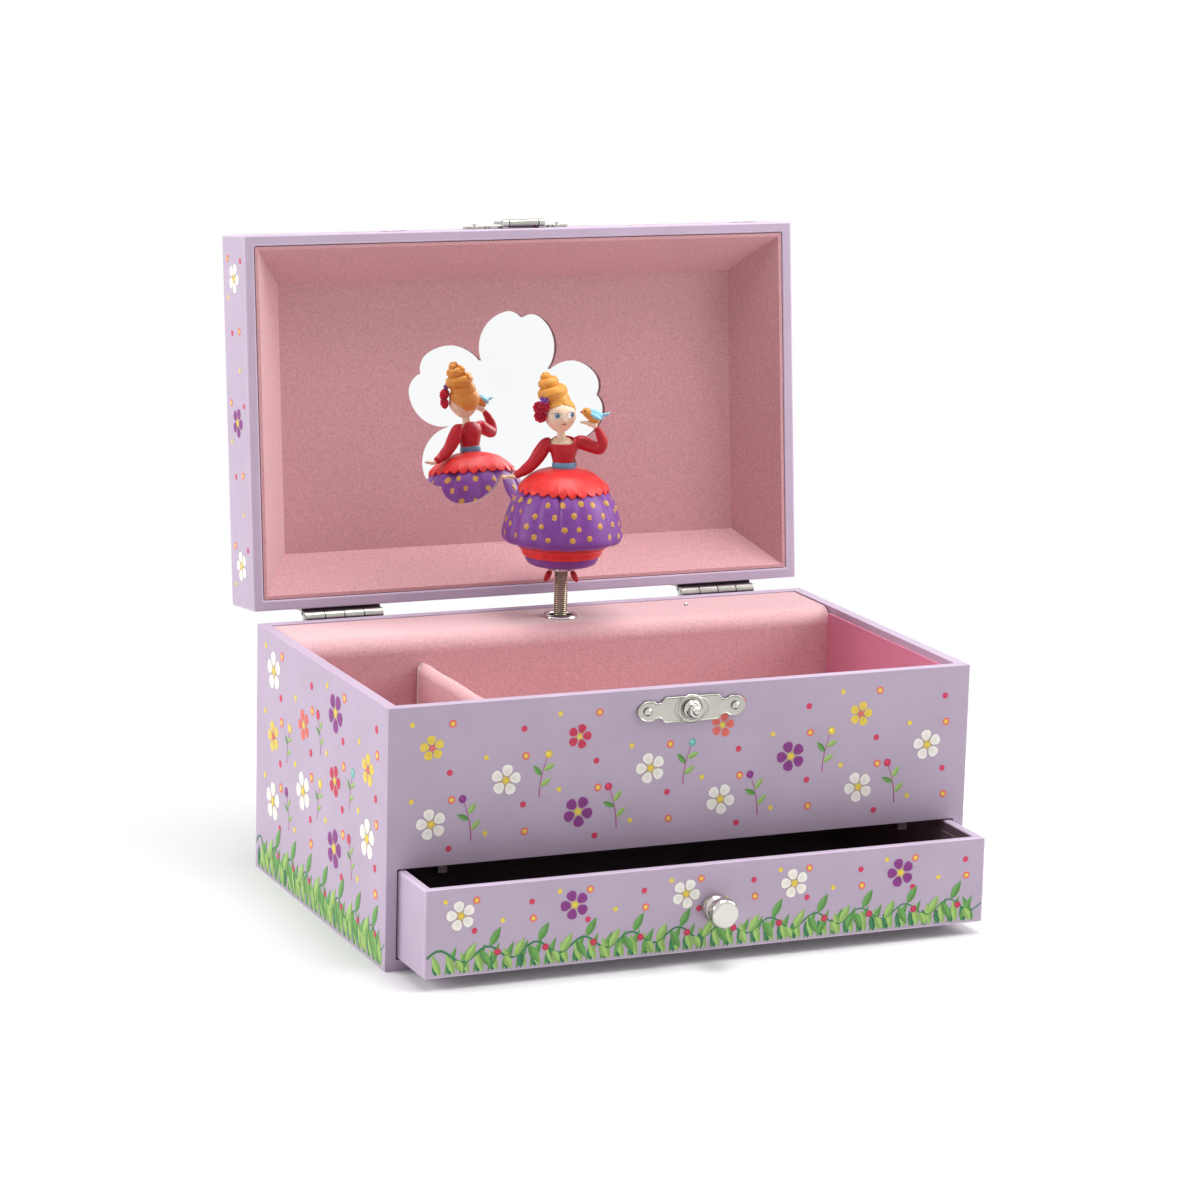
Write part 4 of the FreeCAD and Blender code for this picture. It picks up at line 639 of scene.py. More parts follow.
class Ink:
    """Coloured shapes laid on a surface in thin layers. A subclass gives the surface by its place()."""

    def __init__(self):
        self.points = []
        self.faces = []
        self.tints = []
        self.shapes = 0

    def add(self, u, v, layer, colour):
        self.points.append(self.place(u, v, layer))
        self.tints.append(colour)

    def fan(self, centre, rim, layer, inner, outer):
        """A filled shape whose colour runs from its centre to its rim."""
        self.shapes += 1
        first = len(self.points)
        self.add(*centre, layer, inner)
        for u, v in rim:
            self.add(u, v, layer, outer)
        count = len(rim)
        self.faces += [(first, first + 1 + n, first + 1 + (n + 1) % count) for n in range(count)]

    def oval(self, u, v, wide, tall, layer, inner, outer=None, tilt=0.0, steps=20):
        angles = [TURN * n / steps for n in range(steps)]
        rim = [(u + wide * math.cos(t), v + tall * math.sin(t) + tilt * math.cos(t)) for t in angles]
        self.fan((u, v), rim, layer, inner, outer or inner)

    def piece(self, name, material, smooth):
        return tinted(solid(name, self.points, self.faces, material, smooth), self.tints)


class Panel(Ink):
    """Print on one flat face. Sizes are in millimetres from the face's lower left corner."""

    def __init__(self, origin, across, up, seed, scale):
        super().__init__()
        self.origin = Vector(origin)
        self.scale = scale
        self.across = Vector(across)
        self.up = Vector(up)
        self.out = self.across.cross(self.up)
        self.chance = random.Random(seed)

    def place(self, u, v, layer):
        """Each shape lies a hair above the one before it in its layer."""
        height = INK_LIFT + LAYER_STEP * layer + SHAPE_STEP * (self.shapes % 13)
        return self.origin + self.across * u + self.up * v + self.out * height

    def disc(self, u, v, radius, layer, inner, outer=None, steps=14):
        self.oval(u, v, radius, radius, layer, inner, outer, steps=steps)

    def leaf(self, u, v, length, width, angle, colour, layer=1):
        """Pointed leaf from its foot, with a lighter half."""
        steps = 6
        foot = Vector((u, v))
        ahead = Vector((math.cos(angle), math.sin(angle)))
        side = Vector((-ahead.y, ahead.x))
        middle = tuple(foot + ahead * length * 0.5)
        for sign, tone in ((1, 1.12), (-1, 0.82)):
            rim = []
            for n in range(steps + 1):
                bulge = math.sin(math.pi * (n / steps) ** 0.85)
                rim.append(tuple(foot + ahead * (length * n / steps) + side * (sign * width / 2 * bulge)))
            self.fan(middle, rim[::sign], layer, shade(colour, tone), shade(colour, tone * 0.9))

    def stroke(self, path, width, colour, layer=0):
        """Line that thins to half its width."""
        first = len(self.points)
        count = len(path)
        for number, (u, v) in enumerate(path):
            before = Vector(path[max(number - 1, 0)])
            after = Vector(path[min(number + 1, count - 1)])
            ahead = (after - before).normalized()
            side = Vector((-ahead.y, ahead.x)) * width / 2 * (1 - 0.5 * number / count)
            for sign in (-1, 1):
                self.add(u + side.x * sign, v + side.y * sign, layer, colour)
        for start in range(first, first + 2 * (count - 1), 2):
            self.faces.append((start, start + 2, start + 3, start + 1))

    def blossom(self, u, v, radius, colour, heart, turn):
        """Five round petals about a dotted heart."""
        petals, steps = 5, 12
        centre = Vector((u, v))
        for number in range(petals):
            angle = turn + TURN * number / petals
            ahead = Vector((math.cos(angle), math.sin(angle)))
            side = Vector((-ahead.y, ahead.x))
            rim = []
            for n in range(steps):
                t = TURN * n / steps
                reach = 0.62 - 0.36 * math.cos(t)
                wide = 0.34 * math.sin(t) * (1 - 0.25 * math.cos(t))
                rim.append(tuple(centre + ahead * radius * reach + side * radius * wide))
            self.fan(tuple(centre + ahead * radius * 0.45), rim, 1, shade(colour, 0.8), colour)
        self.disc(u, v, radius * 0.24, 2, heart, shade(heart, 0.8))
        for number in range(petals):
            angle = turn + TURN * (number + 0.5) / petals
            spot = (u + radius * 0.36 * math.cos(angle), v + radius * 0.36 * math.sin(angle))
            self.disc(*spot, radius * 0.055, 3, shade(heart, 0.7), steps=7)

    def sprig(self, u, v, length, lean, bud):
        """Curved stem with three leaves and a round bud."""
        steps = 8
        path = []
        for n in range(steps + 1):
            t = n / steps
            path.append((u + lean * length * t * t, v + length * t))
        self.stroke(path, 0.42 * self.scale, STEM)
        for n, sign in ((2, 1), (4, -1), (5, 1)):
            heading = math.pi / 2 - math.atan(2 * lean * n / steps) - sign * 0.9
            self.leaf(*path[n], length * 0.34, length * 0.13, heading, LEAF_PALE if sign > 0 else LEAF)
        tip_u, tip_v = path[-1]
        radius = 1.15 * self.scale
        self.disc(tip_u, tip_v, radius, 2, shade(bud, 1.15), shade(bud, 0.8))
        self.disc(tip_u - 0.26 * radius, tip_v + 0.3 * radius, 0.28 * radius, 3, shade(bud, 1.6), steps=8)

    def garland(self, width, height):
        """Wavy stem along the foot of the face, blades below it and leaves to both sides."""
        pitch, per_wave, margin = 13.5, 10, 6
        waves = max(int(width / pitch), 1)
        steps = waves * per_wave
        path = []
        for n in range(steps + 1):
            wave = math.sin(TURN * n / per_wave)
            path.append((0.6 + (width - 1.2) * n / steps, height * 0.42 + height * 0.14 * wave))
        for number in range(steps):
            u = 2.5 + (width - 5) * (number + 0.5) / steps
            length = height * (0.36 + 0.13 * (number % 3))
            lean = 0.45 * math.sin(number * 2.1)
            if not 1.0 < u - length * math.sin(lean) < width - 1.0:
                lean = -lean
            colour = (LEAF_DARK, LEAF, LEAF_PALE)[(number * 2) % 3]
            self.leaf(u, 0.7, length, height * 0.15, math.pi / 2 + lean, colour, 0)
        self.stroke(path, 0.7, LEAF_DARK, 1)
        for number in range(waves * 4):
            u, v = path[min(number * per_wave // 4 + 1, steps)]
            if not margin < u < width - margin:
                continue
            sign = 1 if number % 2 else -1
            length = height * 0.44 if sign > 0 else min(height * 0.44, v - 0.5)
            self.leaf(u, v, length, height * 0.17, sign * 1.05, LEAF if number % 4 < 2 else LEAF_PALE, 2)
            if number % 4 == 1:
                self.disc(u + 2.2, v - 1.8, 1.0, 3, shade(CHERRY, 1.1), shade(CHERRY, 0.75))

    def scatter(self, left, low, right, high, cell):
        """Half-drop repeat of blossoms, sprigs and dots."""
        scale = self.scale
        columns = max(int((right - left) / (cell[0] * scale)), 1)
        rows = max(int((high - low) / (cell[1] * scale) + 0.6), 1)
        wide = (right - left) / columns
        tall = (high - low) / rows
        tallness = min(14.0 * scale, tall * 0.56)

        def fits(u, v, reach):
            return left + reach < u < right - reach and low + reach < v < high - reach

        for column in range(columns):
            for row in range(-1, rows + 1):
                u = left + (column + 0.5) * wide
                v = low + (row + 0.5 + 0.5 * (column % 2)) * tall
                kind = (column * 2 + row * 3) % 6
                size = (3.7 if kind % 2 else 4.6) * scale
                if fits(u, v, size + 0.8):
                    petals = PETAL_COLOURS[kind]
                    heart = BUTTER if petals is not BUTTER else CORAL
                    self.blossom(u, v, size, petals, heart, self.chance.uniform(0, 1.2))
                side_u = u + 0.5 * wide
                side_v = v + 0.02 * tall
                if fits(side_u, side_v, 5.2 * scale) and side_v + tallness < high - 1.5:
                    lean = 0.22 if (column + row) % 2 else -0.22
                    foot = (side_u - lean * 4 * scale, side_v - tallness * 0.5)
                    self.sprig(*foot, tallness, lean, BUD_COLOURS[(column + row) % 4])
                ringed = (u + 0.27 * wide, v + 0.3 * tall)
                if fits(*ringed, 2 * scale):
                    self.disc(*ringed, 1.15 * scale, 1, CORAL)
                    self.disc(*ringed, 1.15 * scale * 0.55, 2, BUTTER)
                yellow = (u - 0.27 * wide, v + 0.32 * tall)
                if fits(*yellow, 2 * scale):
                    self.disc(*yellow, 0.75 * scale, 1, BUTTER)
                red = (u + 0.24 * wide, v - 0.34 * tall)
                if fits(*red, 2 * scale):
                    self.disc(*red, 0.9 * scale, 1, shade(CHERRY, 1.1), CHERRY)


ACROSS, BACK, UP = (1, 0, 0), (0, 1, 0), (0, 0, 1)
LEFTWARD, FORWARD = (-1, 0, 0), (0, -1, 0)
FRONT_CELL, LID_CELL, WIDE_CELL, DRAWER_CELL = (20.5, 22.0), (19.0, 19.0), (17.0, 18.0), (17.0, 15.0)
WALLS = {
    "left": (-HALF_WIDTH, HALF_DEPTH, FORWARD, 2 * HALF_DEPTH),
    "right": (HALF_WIDTH, -HALF_DEPTH, BACK, 2 * HALF_DEPTH),
    "front": (-HALF_WIDTH, -HALF_DEPTH, ACROSS, 2 * HALF_WIDTH),
    "back": (HALF_WIDTH, HALF_DEPTH, LEFTWARD, 2 * HALF_WIDTH),
}


def print_face(name, body, origin, across, up, size, seed, cell, band=0.0, scale=1.0):
    """Print one face: a garland in a band along its foot where it has one, and the repeat above it."""
    panel = Panel(origin, across, up, seed, scale)
    width, height = size
    if band:
        panel.garland(width, band)
    panel.scatter(2.0, max(band * 0.75, 1.2), width - 2.0, height - 1.2, cell)
    piece = panel.piece(name, ink, False)
    if body == "lid":
        piece.data.transform(OPEN_LID)
    settle(piece, body, "wrapped_board")


def print_wall(name, body, wall, low, height, seed, cell, band=0.0, scale=1.0):
    x, y, across, width = WALLS[wall]
    print_face(name, body, (x, y, low), across, UP, (width, height), seed, cell, band, scale)


for wall, seed in (("left", 3), ("right", 5), ("back", 7)):
    print_wall("print_" + wall, "case", wall, 0, CASE_HEIGHT, seed, WIDE_CELL, 19, 1.3)
print_wall("print_front", "case", "front", SHELF_LOW, CASE_HEIGHT - SHELF_LOW, 9, FRONT_CELL)
print_face("print_drawer", "drawer", (-DRAWER_HALF, DRAWER_FRONT, DRAWER_LOW), ACROSS, UP,
           (2 * DRAWER_HALF, DRAWER_HEIGHT), 11, DRAWER_CELL, 14, 0.95)
for wall, seed in (("left", 13), ("right", 15), ("front", 17), ("back", 19)):
    print_wall("print_lid_" + wall, "lid", wall, LID_LOW, LID_HEIGHT, seed, LID_CELL)
print_face("print_lid_top", "lid", (-HALF_WIDTH, -HALF_DEPTH, LID_HIGH), ACROSS, BACK,
           (2 * HALF_WIDTH, 2 * HALF_DEPTH), 21, WIDE_CELL, 15, 1.3)


# Felt, lining, mirror and plain hardware on their CAD solids

def dress(material, bevel, *names):
    """Give CAD solids their material and, where a width is given, softened edges."""
    for name in names:
        node = nodes[name]
        node.data.materials.clear()
        node.data.materials.append(material)
        if bevel:
            add_bevel(node, bevel, 2, 35)


dress(felt, 0.3, "lid_liner")
# The cover and compartment floor take the paler felt copy: painted light.
dress(inner_lit_felt, 0.3, "compartment_floor", "mechanism_cover")
dress(pink_paper, 0.2, "front_lining", "side_linings")
dress(plum, 0.15, "drawer_lining")
dress(mirror_silver, 0.2, "mirror")
dress(clear_tab, 0.12, "drawer_stop_tabs")
dress(nickel, 0.14, "hinge_case_leaves", "hinge_lid_leaves", "hasp_tongue", "winding_key")
dress(steel, 0.0, "hinge_pins", "hasp_pin", "knob_screw", "movement_screws", "comb_screws", "stop_pin",
      "key_arbor", "dancer_spindle", "cylinder_arbor", "governor_arbor", "mainspring", "tune_comb",
      "dancer_socket")
dress(brass, 0.0, "crown_wheel", "tune_cylinder", "governor_fly", "spring_drum", "governor_frame")
dress(zinc, 0.2, "bedplate")
dress(nickel_bright, 0.0, "hasp_plate", "hasp_rivets", "catch_rivets")


# Mirror edge, divider, knob, ferrule, catch and spring

FLOWER_RISE = 1.4
PLATE = 0.8


def arc(start, through, end, steps):
    """Points of the circular arc through three places, without its end."""
    first, middle, last = Vector(start), Vector(through), Vector(end)
    chord, rise = last - first, middle - first
    twice_area = 2 * (rise.x * chord.y - rise.y * chord.x)
    centre = first + Vector((chord.y * rise.length_squared - rise.y * chord.length_squared,
                             rise.x * chord.length_squared - chord.x * rise.length_squared)) / twice_area
    arm = first - centre
    sweep = arm.angle_signed(middle - centre) + (middle - centre).angle_signed(last - centre)
    return [centre + Matrix.Rotation(-sweep * n / steps, 2) @ arm for n in range(steps)]


def flower_outline():
    """Five petals of the mirror's opening, each with two side arcs and a dented outer edge."""
    lean, left_stretch, petals = 81, 1.1, 5
    half_petal = [(19.0, 36), (27.6, 25.5), (31.6, 12), (31.6, 5)]
    dent = [(30.2, 0)]

    def spot(radius, degrees):
        angle = math.radians(degrees - lean)
        across = radius * math.cos(angle)
        return (across * left_stretch if across < 0 else across, FLOWER_RISE + radius * math.sin(angle))

    marks = [(radius, -degrees) for radius, degrees in half_petal] + dent + half_petal[::-1]
    outline = []
    for number in range(petals):
        axis = 360 / petals * number
        corners = [spot(radius, axis + degrees) for radius, degrees in marks]
        for first in range(0, len(corners) - 1, 2):
            outline += arc(*corners[first:first + 3], 14)
    return outline


def make_flower_edge():
    """Painted shade: a dark strip on the cut edge of the lining card round the mirror's opening, in place of
    the shadow gap there.
    """
    outline = flower_outline()
    near, far, proud = 91.3, 91.62, 0.001
    points = [(point.x * share, FLOWER_RISE + (point.y - FLOWER_RISE) * share, height)
              for share, height in ((1 + proud, near), (1 - proud, near), (1 - proud, far))
              for point in outline]
    piece = solid("flower_edge_painted_shade", points, quads(3, len(outline)), edge_shade_card, False)
    piece.data.transform(OPEN_LID)
    settle(piece, "lid", "pink_felt")


def make_divider():
    """Felt-covered pad with a soft rounded top."""
    low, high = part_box("divider")
    low, high = low / MM, high / MM
    half = (high.x - low.x) / 2
    middle = (high.x + low.x) / 2
    tall = high.z - low.z
    rows, bends = 28, 12
    left = [(-half, low.z), (-half, low.z + tall * 0.5), (-half, high.z - half)]
    turns = [math.pi * n / bends for n in range(1, bends)]
    crown = [(-half * math.cos(turn), high.z - half + half * math.sin(turn)) for turn in turns]
    section = left + crown + [(-across, height) for across, height in reversed(left)]
    points = []
    for row in range(rows + 1):
        share = row / rows
        pinch = 1 - 0.28 * math.exp(-(min(share, 1 - share) / 0.02) ** 2)
        dip = 0.25 * math.sin(share * math.pi * 3) ** 2
        for across, height in section:
            lift = (height - low.z) / tall
            points.append((middle + across * pinch, low.y + (high.y - low.y) * share, height - dip * lift))
    faces = capped(points, quads(rows + 1, len(section), closed=False), len(section))
    # The pad takes the paler felt copy: painted light.
    piece = outward(solid("divider_pad", points, faces, pad_lit_felt))
    settle(piece, "case", "pink_felt", "divider")


def make_knob():
    """Turned knob with a waisted neck."""
    profile = [(0.02, 0.4), (3.3, 0.0), (3.5, 0.5), (4.2, 1.6), (4.25, 2.6), (3.9, 3.5), (3.4, 4.3),
               (3.4, 4.8), (4.1, 5.3), (4.35, 6.0), (4.35, 7.7), (3.9, 8.7), (3.4, 9.0), (1.7, 8.96),
               (0.02, 8.9)]
    knob = turned_piece("knob_turned", profile, 72, nickel_bright, (0, DRAWER_FRONT, KNOB_Z), 0.5)
    settle(knob, "drawer", "nickel", "drawer_knob")


def make_ferrule():
    """Rolled metal ring in the deck, open for the spring."""
    profile = [(3.7, -2.0), (3.7, 0.45), (4.1, 0.9), (4.7, 0.95), (5.2, 0.55), (5.4, 0.1), (5.3, 0.0),
               (4.2, 0.0), (4.2, -2.0), (3.7, -2.0)]
    ring = turned_skin("ferrule_ring", rounded(profile, 0.3), 72, nickel_bright)
    ring.data.transform(Matrix.Translation(Vector((SPINDLE_X, SPINDLE_Y, DECK_TOP)) * MM))
    settle(ring, "case", "nickel", "deck_ferrule")


def lobed_outline():
    """Plate with a square middle, scooped necks and rounded ends."""
    upper = [(0, 3.75), (8.4, 3.75), (9.5, 2.2), (10.9, 2.2), (11.8, 2.95), (14.8, 2.95), (16.75, 1.0)]
    half = upper + [(x, -y) for x, y in reversed(upper)]
    ring = half[:-1] + [(-x, -y) for x, y in half]
    return rounded(ring, 1.4, 6)[:-1]


def stamped_plate():
    """Stamped plate with a rolled rim, as (inset, height) steps from its foot."""
    outline = lobed_outline()
    count = len(outline)
    steps = [(0.0, 0.0), (0.0, 0.55), (0.09, 0.78), (0.27, 0.8), (0.42, 0.6), (0.55, 0.5)]
    points = []
    for inset, height in steps:
        for n in range(count):
            ahead = Vector(outline[(n + 1) % count]) - Vector(outline[n - 1])
            inward = Vector((ahead.y, -ahead.x)).normalized() * inset
            points.append((outline[n][0] + inward.x, outline[n][1] + inward.y, height))
    return points, capped(points, quads(len(steps), count), count)


def raised_ring(inner, outer, height, flatten):
    """Embossed ring on the plate, round or pressed to an oval."""
    foot, slope = 0.45, 0.12
    shoulder = height - 0.06
    profile = [(inner, foot), (inner + slope, shoulder), ((inner + outer) / 2, height),
               (outer - slope, shoulder), (outer, foot)]
    points, faces = lathe(profile, 48)
    return [(x, y * flatten, z) for x, y, z in points], faces


def make_catch():
    """Stamped plate with embossed rings, and the turned stud in front of it."""
    shapes = [stamped_plate(), raised_ring(5.0, 5.6, 0.74, 0.7), raised_ring(3.1, 4.2, 0.8, 1.0)]
    piece = joined("catch_stamped", shapes, nickel_stamped)
    for polygon in piece.data.polygons:
        polygon.use_smooth = polygon.loop_total == 4
    piece.data.transform(Matrix.Translation(Vector((CATCH_X, -HALF_DEPTH, CATCH_Z)) * MM) @ FACING_FRONT)
    settle(outward(piece), "case", "nickel", "catch_plate")
    profile = [(0.02, 0.0), (2.6, 0.0), (2.6, 0.3), (2.2, 0.5), (1.75, 1.1), (1.5, 1.9), (1.6, 2.3),
               (1.95, 2.5), (1.95, 2.8), (1.3, 3.0), (1.1, 3.3), (0.9, 3.75), (0.4, 3.9), (0.02, 3.9)]
    place = (CATCH_X, -HALF_DEPTH - PLATE, CATCH_Z)
    stud = turned_piece("catch_stud_turned", profile, 48, nickel_bright, place, 0.2)
    settle(stud, "case", "nickel", "catch_stud")


def make_spring():
    """Close-wound wire from the collet to the socket under the skirt."""
    low, high = 68.05, 88.5
    radius, wire, pitch = 1.85, 0.25, 0.62
    turns = (high - low) / pitch
    steps = int(turns * 30)
    path = []
    for n in range(steps + 1):
        angle = TURN * turns * n / steps
        height = low + (high - low) * n / steps
        path.append(Vector((radius * math.cos(angle), radius * math.sin(angle), height)))
    points, faces = tube(path, [wire] * len(path), 8)
    points = [point + Vector((SPINDLE_X, SPINDLE_Y, 0)) for point in points]
    piece = solid("spring_wound", points, faces, spring_wire)
    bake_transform(piece)
    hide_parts("dancer_spring")


make_flower_edge()
make_divider()
make_knob()
make_ferrule()
make_catch()
make_spring()


# Dancer, built facing -Y and then turned onto the spindle

FIGURE = (Matrix.Translation(Vector((SPINDLE_X, SPINDLE_Y, 0)) * MM)
          @ Matrix.Rotation(math.radians(-23.4), 4, "Z"))
SKIRT_LINE = spline([(11.0, 115.6), (12.6, 114.6), (14.2, 112.6), (15.7, 110.0), (17.0, 106.4), (17.9, 102.8),
                     (18.35, 100.2), (18.1, 98.9), (17.0, 98.1), (15.2, 97.8), (12.0, 97.9)], 6)
HEM_EDGE = 46
OUTER_SKIRT = SKIRT_LINE[:HEM_EDGE]
HEM_Z, FOLD_HEIGHT = 97.7, 16.0
FLUTES = 13
DOT_SIDES = 12


def on_figure(piece, slot, *replaced):
    piece.data.transform(FIGURE)
    return settle(piece, "dancer", slot, *replaced)


def sculpt(name, shapes, material, voxel, smoothing, slot, *replaced):
    """Overlapping forms on the figure, melted into one skin."""
    on_figure(melted(joined(name, shapes, material), voxel, smoothing), slot, *replaced)


def skirt_wave(radius, height, angle):
    """Soft uneven folds under the overskirt that fade out towards a smooth hem."""
    rise = max(0.0, min(1.0, (height - HEM_Z) / FOLD_HEIGHT))
    phase = angle * FLUTES / TURN + 0.2 * math.sin(2 * angle + 1.0) + 0.1 * math.sin(5 * angle)
    away = abs(phase - round(phase))
    crease = math.exp(-(away / 0.14) ** 2) * (0.65 + 0.35 * math.sin(7 * angle + 2.0))
    broad = math.cos(TURN * phase)
    reach = radius - crease * (0.1 + 1.05 * rise) - 0.12 * (1 - rise) * broad
    return reach, height + 0.06 * (1 - rise) * broad


def skirt_point(angle, height, proud=0.0):
    """Place on the skirt's outside, or a little in front of it."""
    nearest = min(OUTER_SKIRT, key=lambda entry: abs(entry[1] - height))
    reach = skirt_wave(nearest[0], height, angle)[0]
    out = Vector((math.sin(angle), -math.cos(angle), 0.2)).normalized()
    return Vector((reach * math.sin(angle), -reach * math.cos(angle), height)) + out * proud


def make_skirt():
    """Bell of the skirt, with a frill and a small tier under it."""
    bell = turned_skin("skirt_bell", SKIRT_LINE, 300, purple_paint, skirt_wave)
    on_figure(bell, "skirt_paint", "dancer_skirt")
    frill = rounded([(12.6, 98.1), (13.35, 97.9), (13.45, 96.4), (13.1, 95.9), (12.2, 95.7), (12.1, 94.1),
                     (11.7, 93.7), (9.0, 93.7)], 0.45)
    on_figure(turned_skin("skirt_frill", frill, 120, scarlet_paint), "skirt_paint")
    tier = rounded([(11.2, 93.9), (11.1, 92.7), (10.5, 91.4), (9.4, 90.8), (6.0, 90.7), (0.02, 90.7)], 0.5)
    points, faces = lathe(tier, 120)
    faces.append(tuple(range(len(points) - 120, len(points))))
    on_figure(outward(solid("skirt_tier", points, faces, purple_paint)), "skirt_paint")


def skirt_dot(angle, height, radius):
    """Low dome of paint that follows the skirt's folds."""
    tip = skirt_point(angle, height, 0.11)
    spot = skirt_point(angle, height)
    spread = math.hypot(spot.x, spot.y)
    points = []
    for reach, proud in ((1.0, 0.015), (0.6, 0.09)):
        for n in range(DOT_SIDES):
            t = TURN * n / DOT_SIDES
            turned = angle + radius * reach * math.cos(t) / spread
            points.append(skirt_point(turned, height + radius * reach * math.sin(t), proud))
    faces = quads(2, DOT_SIDES)
    for n in range(DOT_SIDES):
        faces.append((DOT_SIDES + n, DOT_SIDES + (n + 1) % DOT_SIDES, 2 * DOT_SIDES))
    return points + [tip], faces


def make_dots():
    """Four staggered rows of dots, each a little out of line."""
    per_row = 18
    shapes = []
    for row, height in enumerate((111.5, 108.2, 104.8, 101.5)):
        for number in range(per_row):
            angle = TURN * (number + 0.5 * (row % 2) + 0.15 * math.sin(number * 2.3 + row)) / per_row
            dot_height = height + 0.4 * math.sin(number * 1.7 + row * 2)
            shapes.append(skirt_dot(angle, dot_height, 0.9 + 0.09 * math.sin(number * 3.1 + row)))
    on_figure(outward(joined("skirt_dots", shapes, gold_paint)), "skirt_paint")


def make_peplum():
    """Domed overskirt with an uneven, round-toothed lower edge."""
    line = spline([(2.6, 120.45), (5.4, 119.95), (8.8, 118.85), (11.3, 117.1), (13.0, 115.4),
                   (13.8, 114.1)], 6)
    teeth, per_tooth = 26, 12
    edge_top, edge_height = 118.3, 4.2

    def edge(radius, height, angle):
        share = max(0.0, (edge_top - height) / edge_height)
        phase = angle * teeth + 0.7 * math.sin(3 * angle) + 0.4 * math.sin(7 * angle)
        lobe = abs(math.cos(phase / 2)) ** 0.85
        tooth = (lobe - 0.6) * 1.9 * (0.85 + 0.3 * math.sin(5 * angle + 1.0)) * share ** 3
        ripple = 0.14 * share ** 2 * math.cos(phase)
        return radius + ripple + 0.12 * share ** 2 * math.sin(5 * angle), height - tooth

    piece = turned_skin("peplum_toothed", line, teeth * per_tooth, scarlet_paint, edge)
    on_figure(thickened(piece, 0.6), "skirt_paint")


def make_legs():
    ankles, shoes = [], []
    for side in (-1, 1):
        ankles += chain((side * 2.6, -0.5, 91.0, 0.8), (side * 3.2, -0.95, 89.4, 0.74),
                        (side * 3.6, -1.3, 88.3, 0.72))
        shoes += chain((side * 3.5, -1.25, 88.4, 0.8), (side * 4.0, -1.6, 87.4, 0.98),
                       (side * 4.5, -1.95, 86.5, 0.78), (side * 4.8, -2.1, 86.0, 0.45))
    sculpt("dancer_ankles", ankles, skin_paint, 0.14, 4, "skirt_paint")
    sculpt("dancer_shoes", shoes, red_paint, 0.14, 4, "skirt_paint")


def oval(across, deep, height, half_wide, half_deep, half_tall=1.0):
    """Flattened ball of the trunk."""
    return ball((across, deep, height), 1.0, (half_wide, half_deep, half_tall), 8, 28)


def make_torso():
    """Bodice with a square neckline and full sleeves, belt, and bare neck."""
    trunk = spline([(120.6, 3.3, 2.9), (122.2, 3.3, 2.85), (124.6, 3.9, 3.3), (126.8, 4.6, 3.5),
                    (128.3, 4.7, 3.1), (129.2, 3.8, 2.5)], 6)
    shapes = [oval(-0.2, 0.1, height, wide, deep) for height, wide, deep in trunk]
    shapes += chain((3.9, 0.2, 128.2, 1.7), (5.2, 0.2, 128.2, 2.2), (7.4, 0.0, 127.4, 2.0),
                    (9.8, -0.5, 126.6, 1.85), (10.9, -0.9, 126.8, 1.8), (11.5, -1.3, 128.8, 1.65),
                    (10.7, -1.7, 131.2, 1.35), (9.6, -2.0, 133.0, 0.95))
    shapes += chain((-4.4, 0.2, 127.7, 1.8), (-5.6, 0.2, 127.2, 2.05), (-7.3, 0.1, 124.5, 2.25),
                    (-9.1, -0.3, 121.8, 1.95), (-11.2, -0.7, 119.8, 1.75), (-13.0, -1.0, 118.6, 1.3),
                    (-13.8, -1.1, 118.2, 1.3))
    bodice = melted(joined("bodice_sleeves", shapes, red_paint), 0.2, 6)
    carved(bodice, [block("neckline", (-4.3, -6, 127.8), (2.8, 1.6, 133), red_paint)])
    on_figure(bodice, "bodice_paint", "dancer_torso")
    belt = rounded([(3.25, 120.0), (3.4, 120.3), (3.46, 121.1), (3.38, 121.9), (3.22, 122.2)], 0.3)
    points, faces = lathe(belt, 64)
    points = [(x * 1.03, y * 0.9, z) for x, y, z in points]
    on_figure(outward(solid("belt_band", points, faces, belt_paint)), "bodice_paint")
    chest = [oval(-0.7, 0.0, 126.8, 4.1, 3.05, 1.6), oval(-0.75, 0.1, 127.9, 3.9, 2.8, 1.3),
             oval(-0.8, 0.2, 128.7, 2.9, 2.3, 1.0)]
    chest += chain((-0.9, 0.2, 128.5, 1.7), (-1.0, 0.1, 130.2, 1.3), (-1.1, 0.0, 131.6, 1.25),
                   (-1.2, 0.0, 133.2, 1.5))
    sculpt("neck_chest", chest, skin_paint, 0.16, 6, "bodice_paint")


def make_hands():
    """A palm, three fingers and a thumb on each side."""
    right = chain((9.4, -2.1, 133.2, 0.75), (8.6, -2.3, 134.1, 0.9), (7.6, -2.5, 134.5, 0.95))
    for lift, reach in ((0.35, 5.2), (0.0, 4.9), (-0.3, 5.3)):
        rise = lift * 0.3
        right += chain((7.6, -2.6 - lift, 134.5 + rise, 0.7), (6.4, -2.8 - lift, 134.7 + rise, 0.55),
                       (reach, -2.9 - lift, 134.9 + rise, 0.38))
    right += chain((8.3, -2.9, 134.2, 0.5), (7.3, -3.5, 134.8, 0.4), (6.6, -3.6, 135.2, 0.3))
    left = chain((-13.6, -1.2, 117.9, 0.68), (-14.6, -1.4, 117.5, 0.72), (-15.8, -1.7, 117.4, 0.72))
    for lift, reach in ((0.4, -18.0), (0.0, -18.3), (-0.4, -17.9)):
        left += chain((-15.8, -1.8 - lift, 117.4, 0.5), (-17.0, -2.0 - lift, 117.5, 0.4),
                      (reach, -2.1 - lift, 117.7, 0.28))
    left += chain((-15.0, -2.1, 117.6, 0.45), (-16.0, -2.7, 117.9, 0.36), (-16.7, -2.9, 118.1, 0.26))
    sculpt("dancer_hands", right + left, skin_paint, 0.13, 4, "bodice_paint")


# Head, in its own frame until HEAD_TURN sets it on the neck

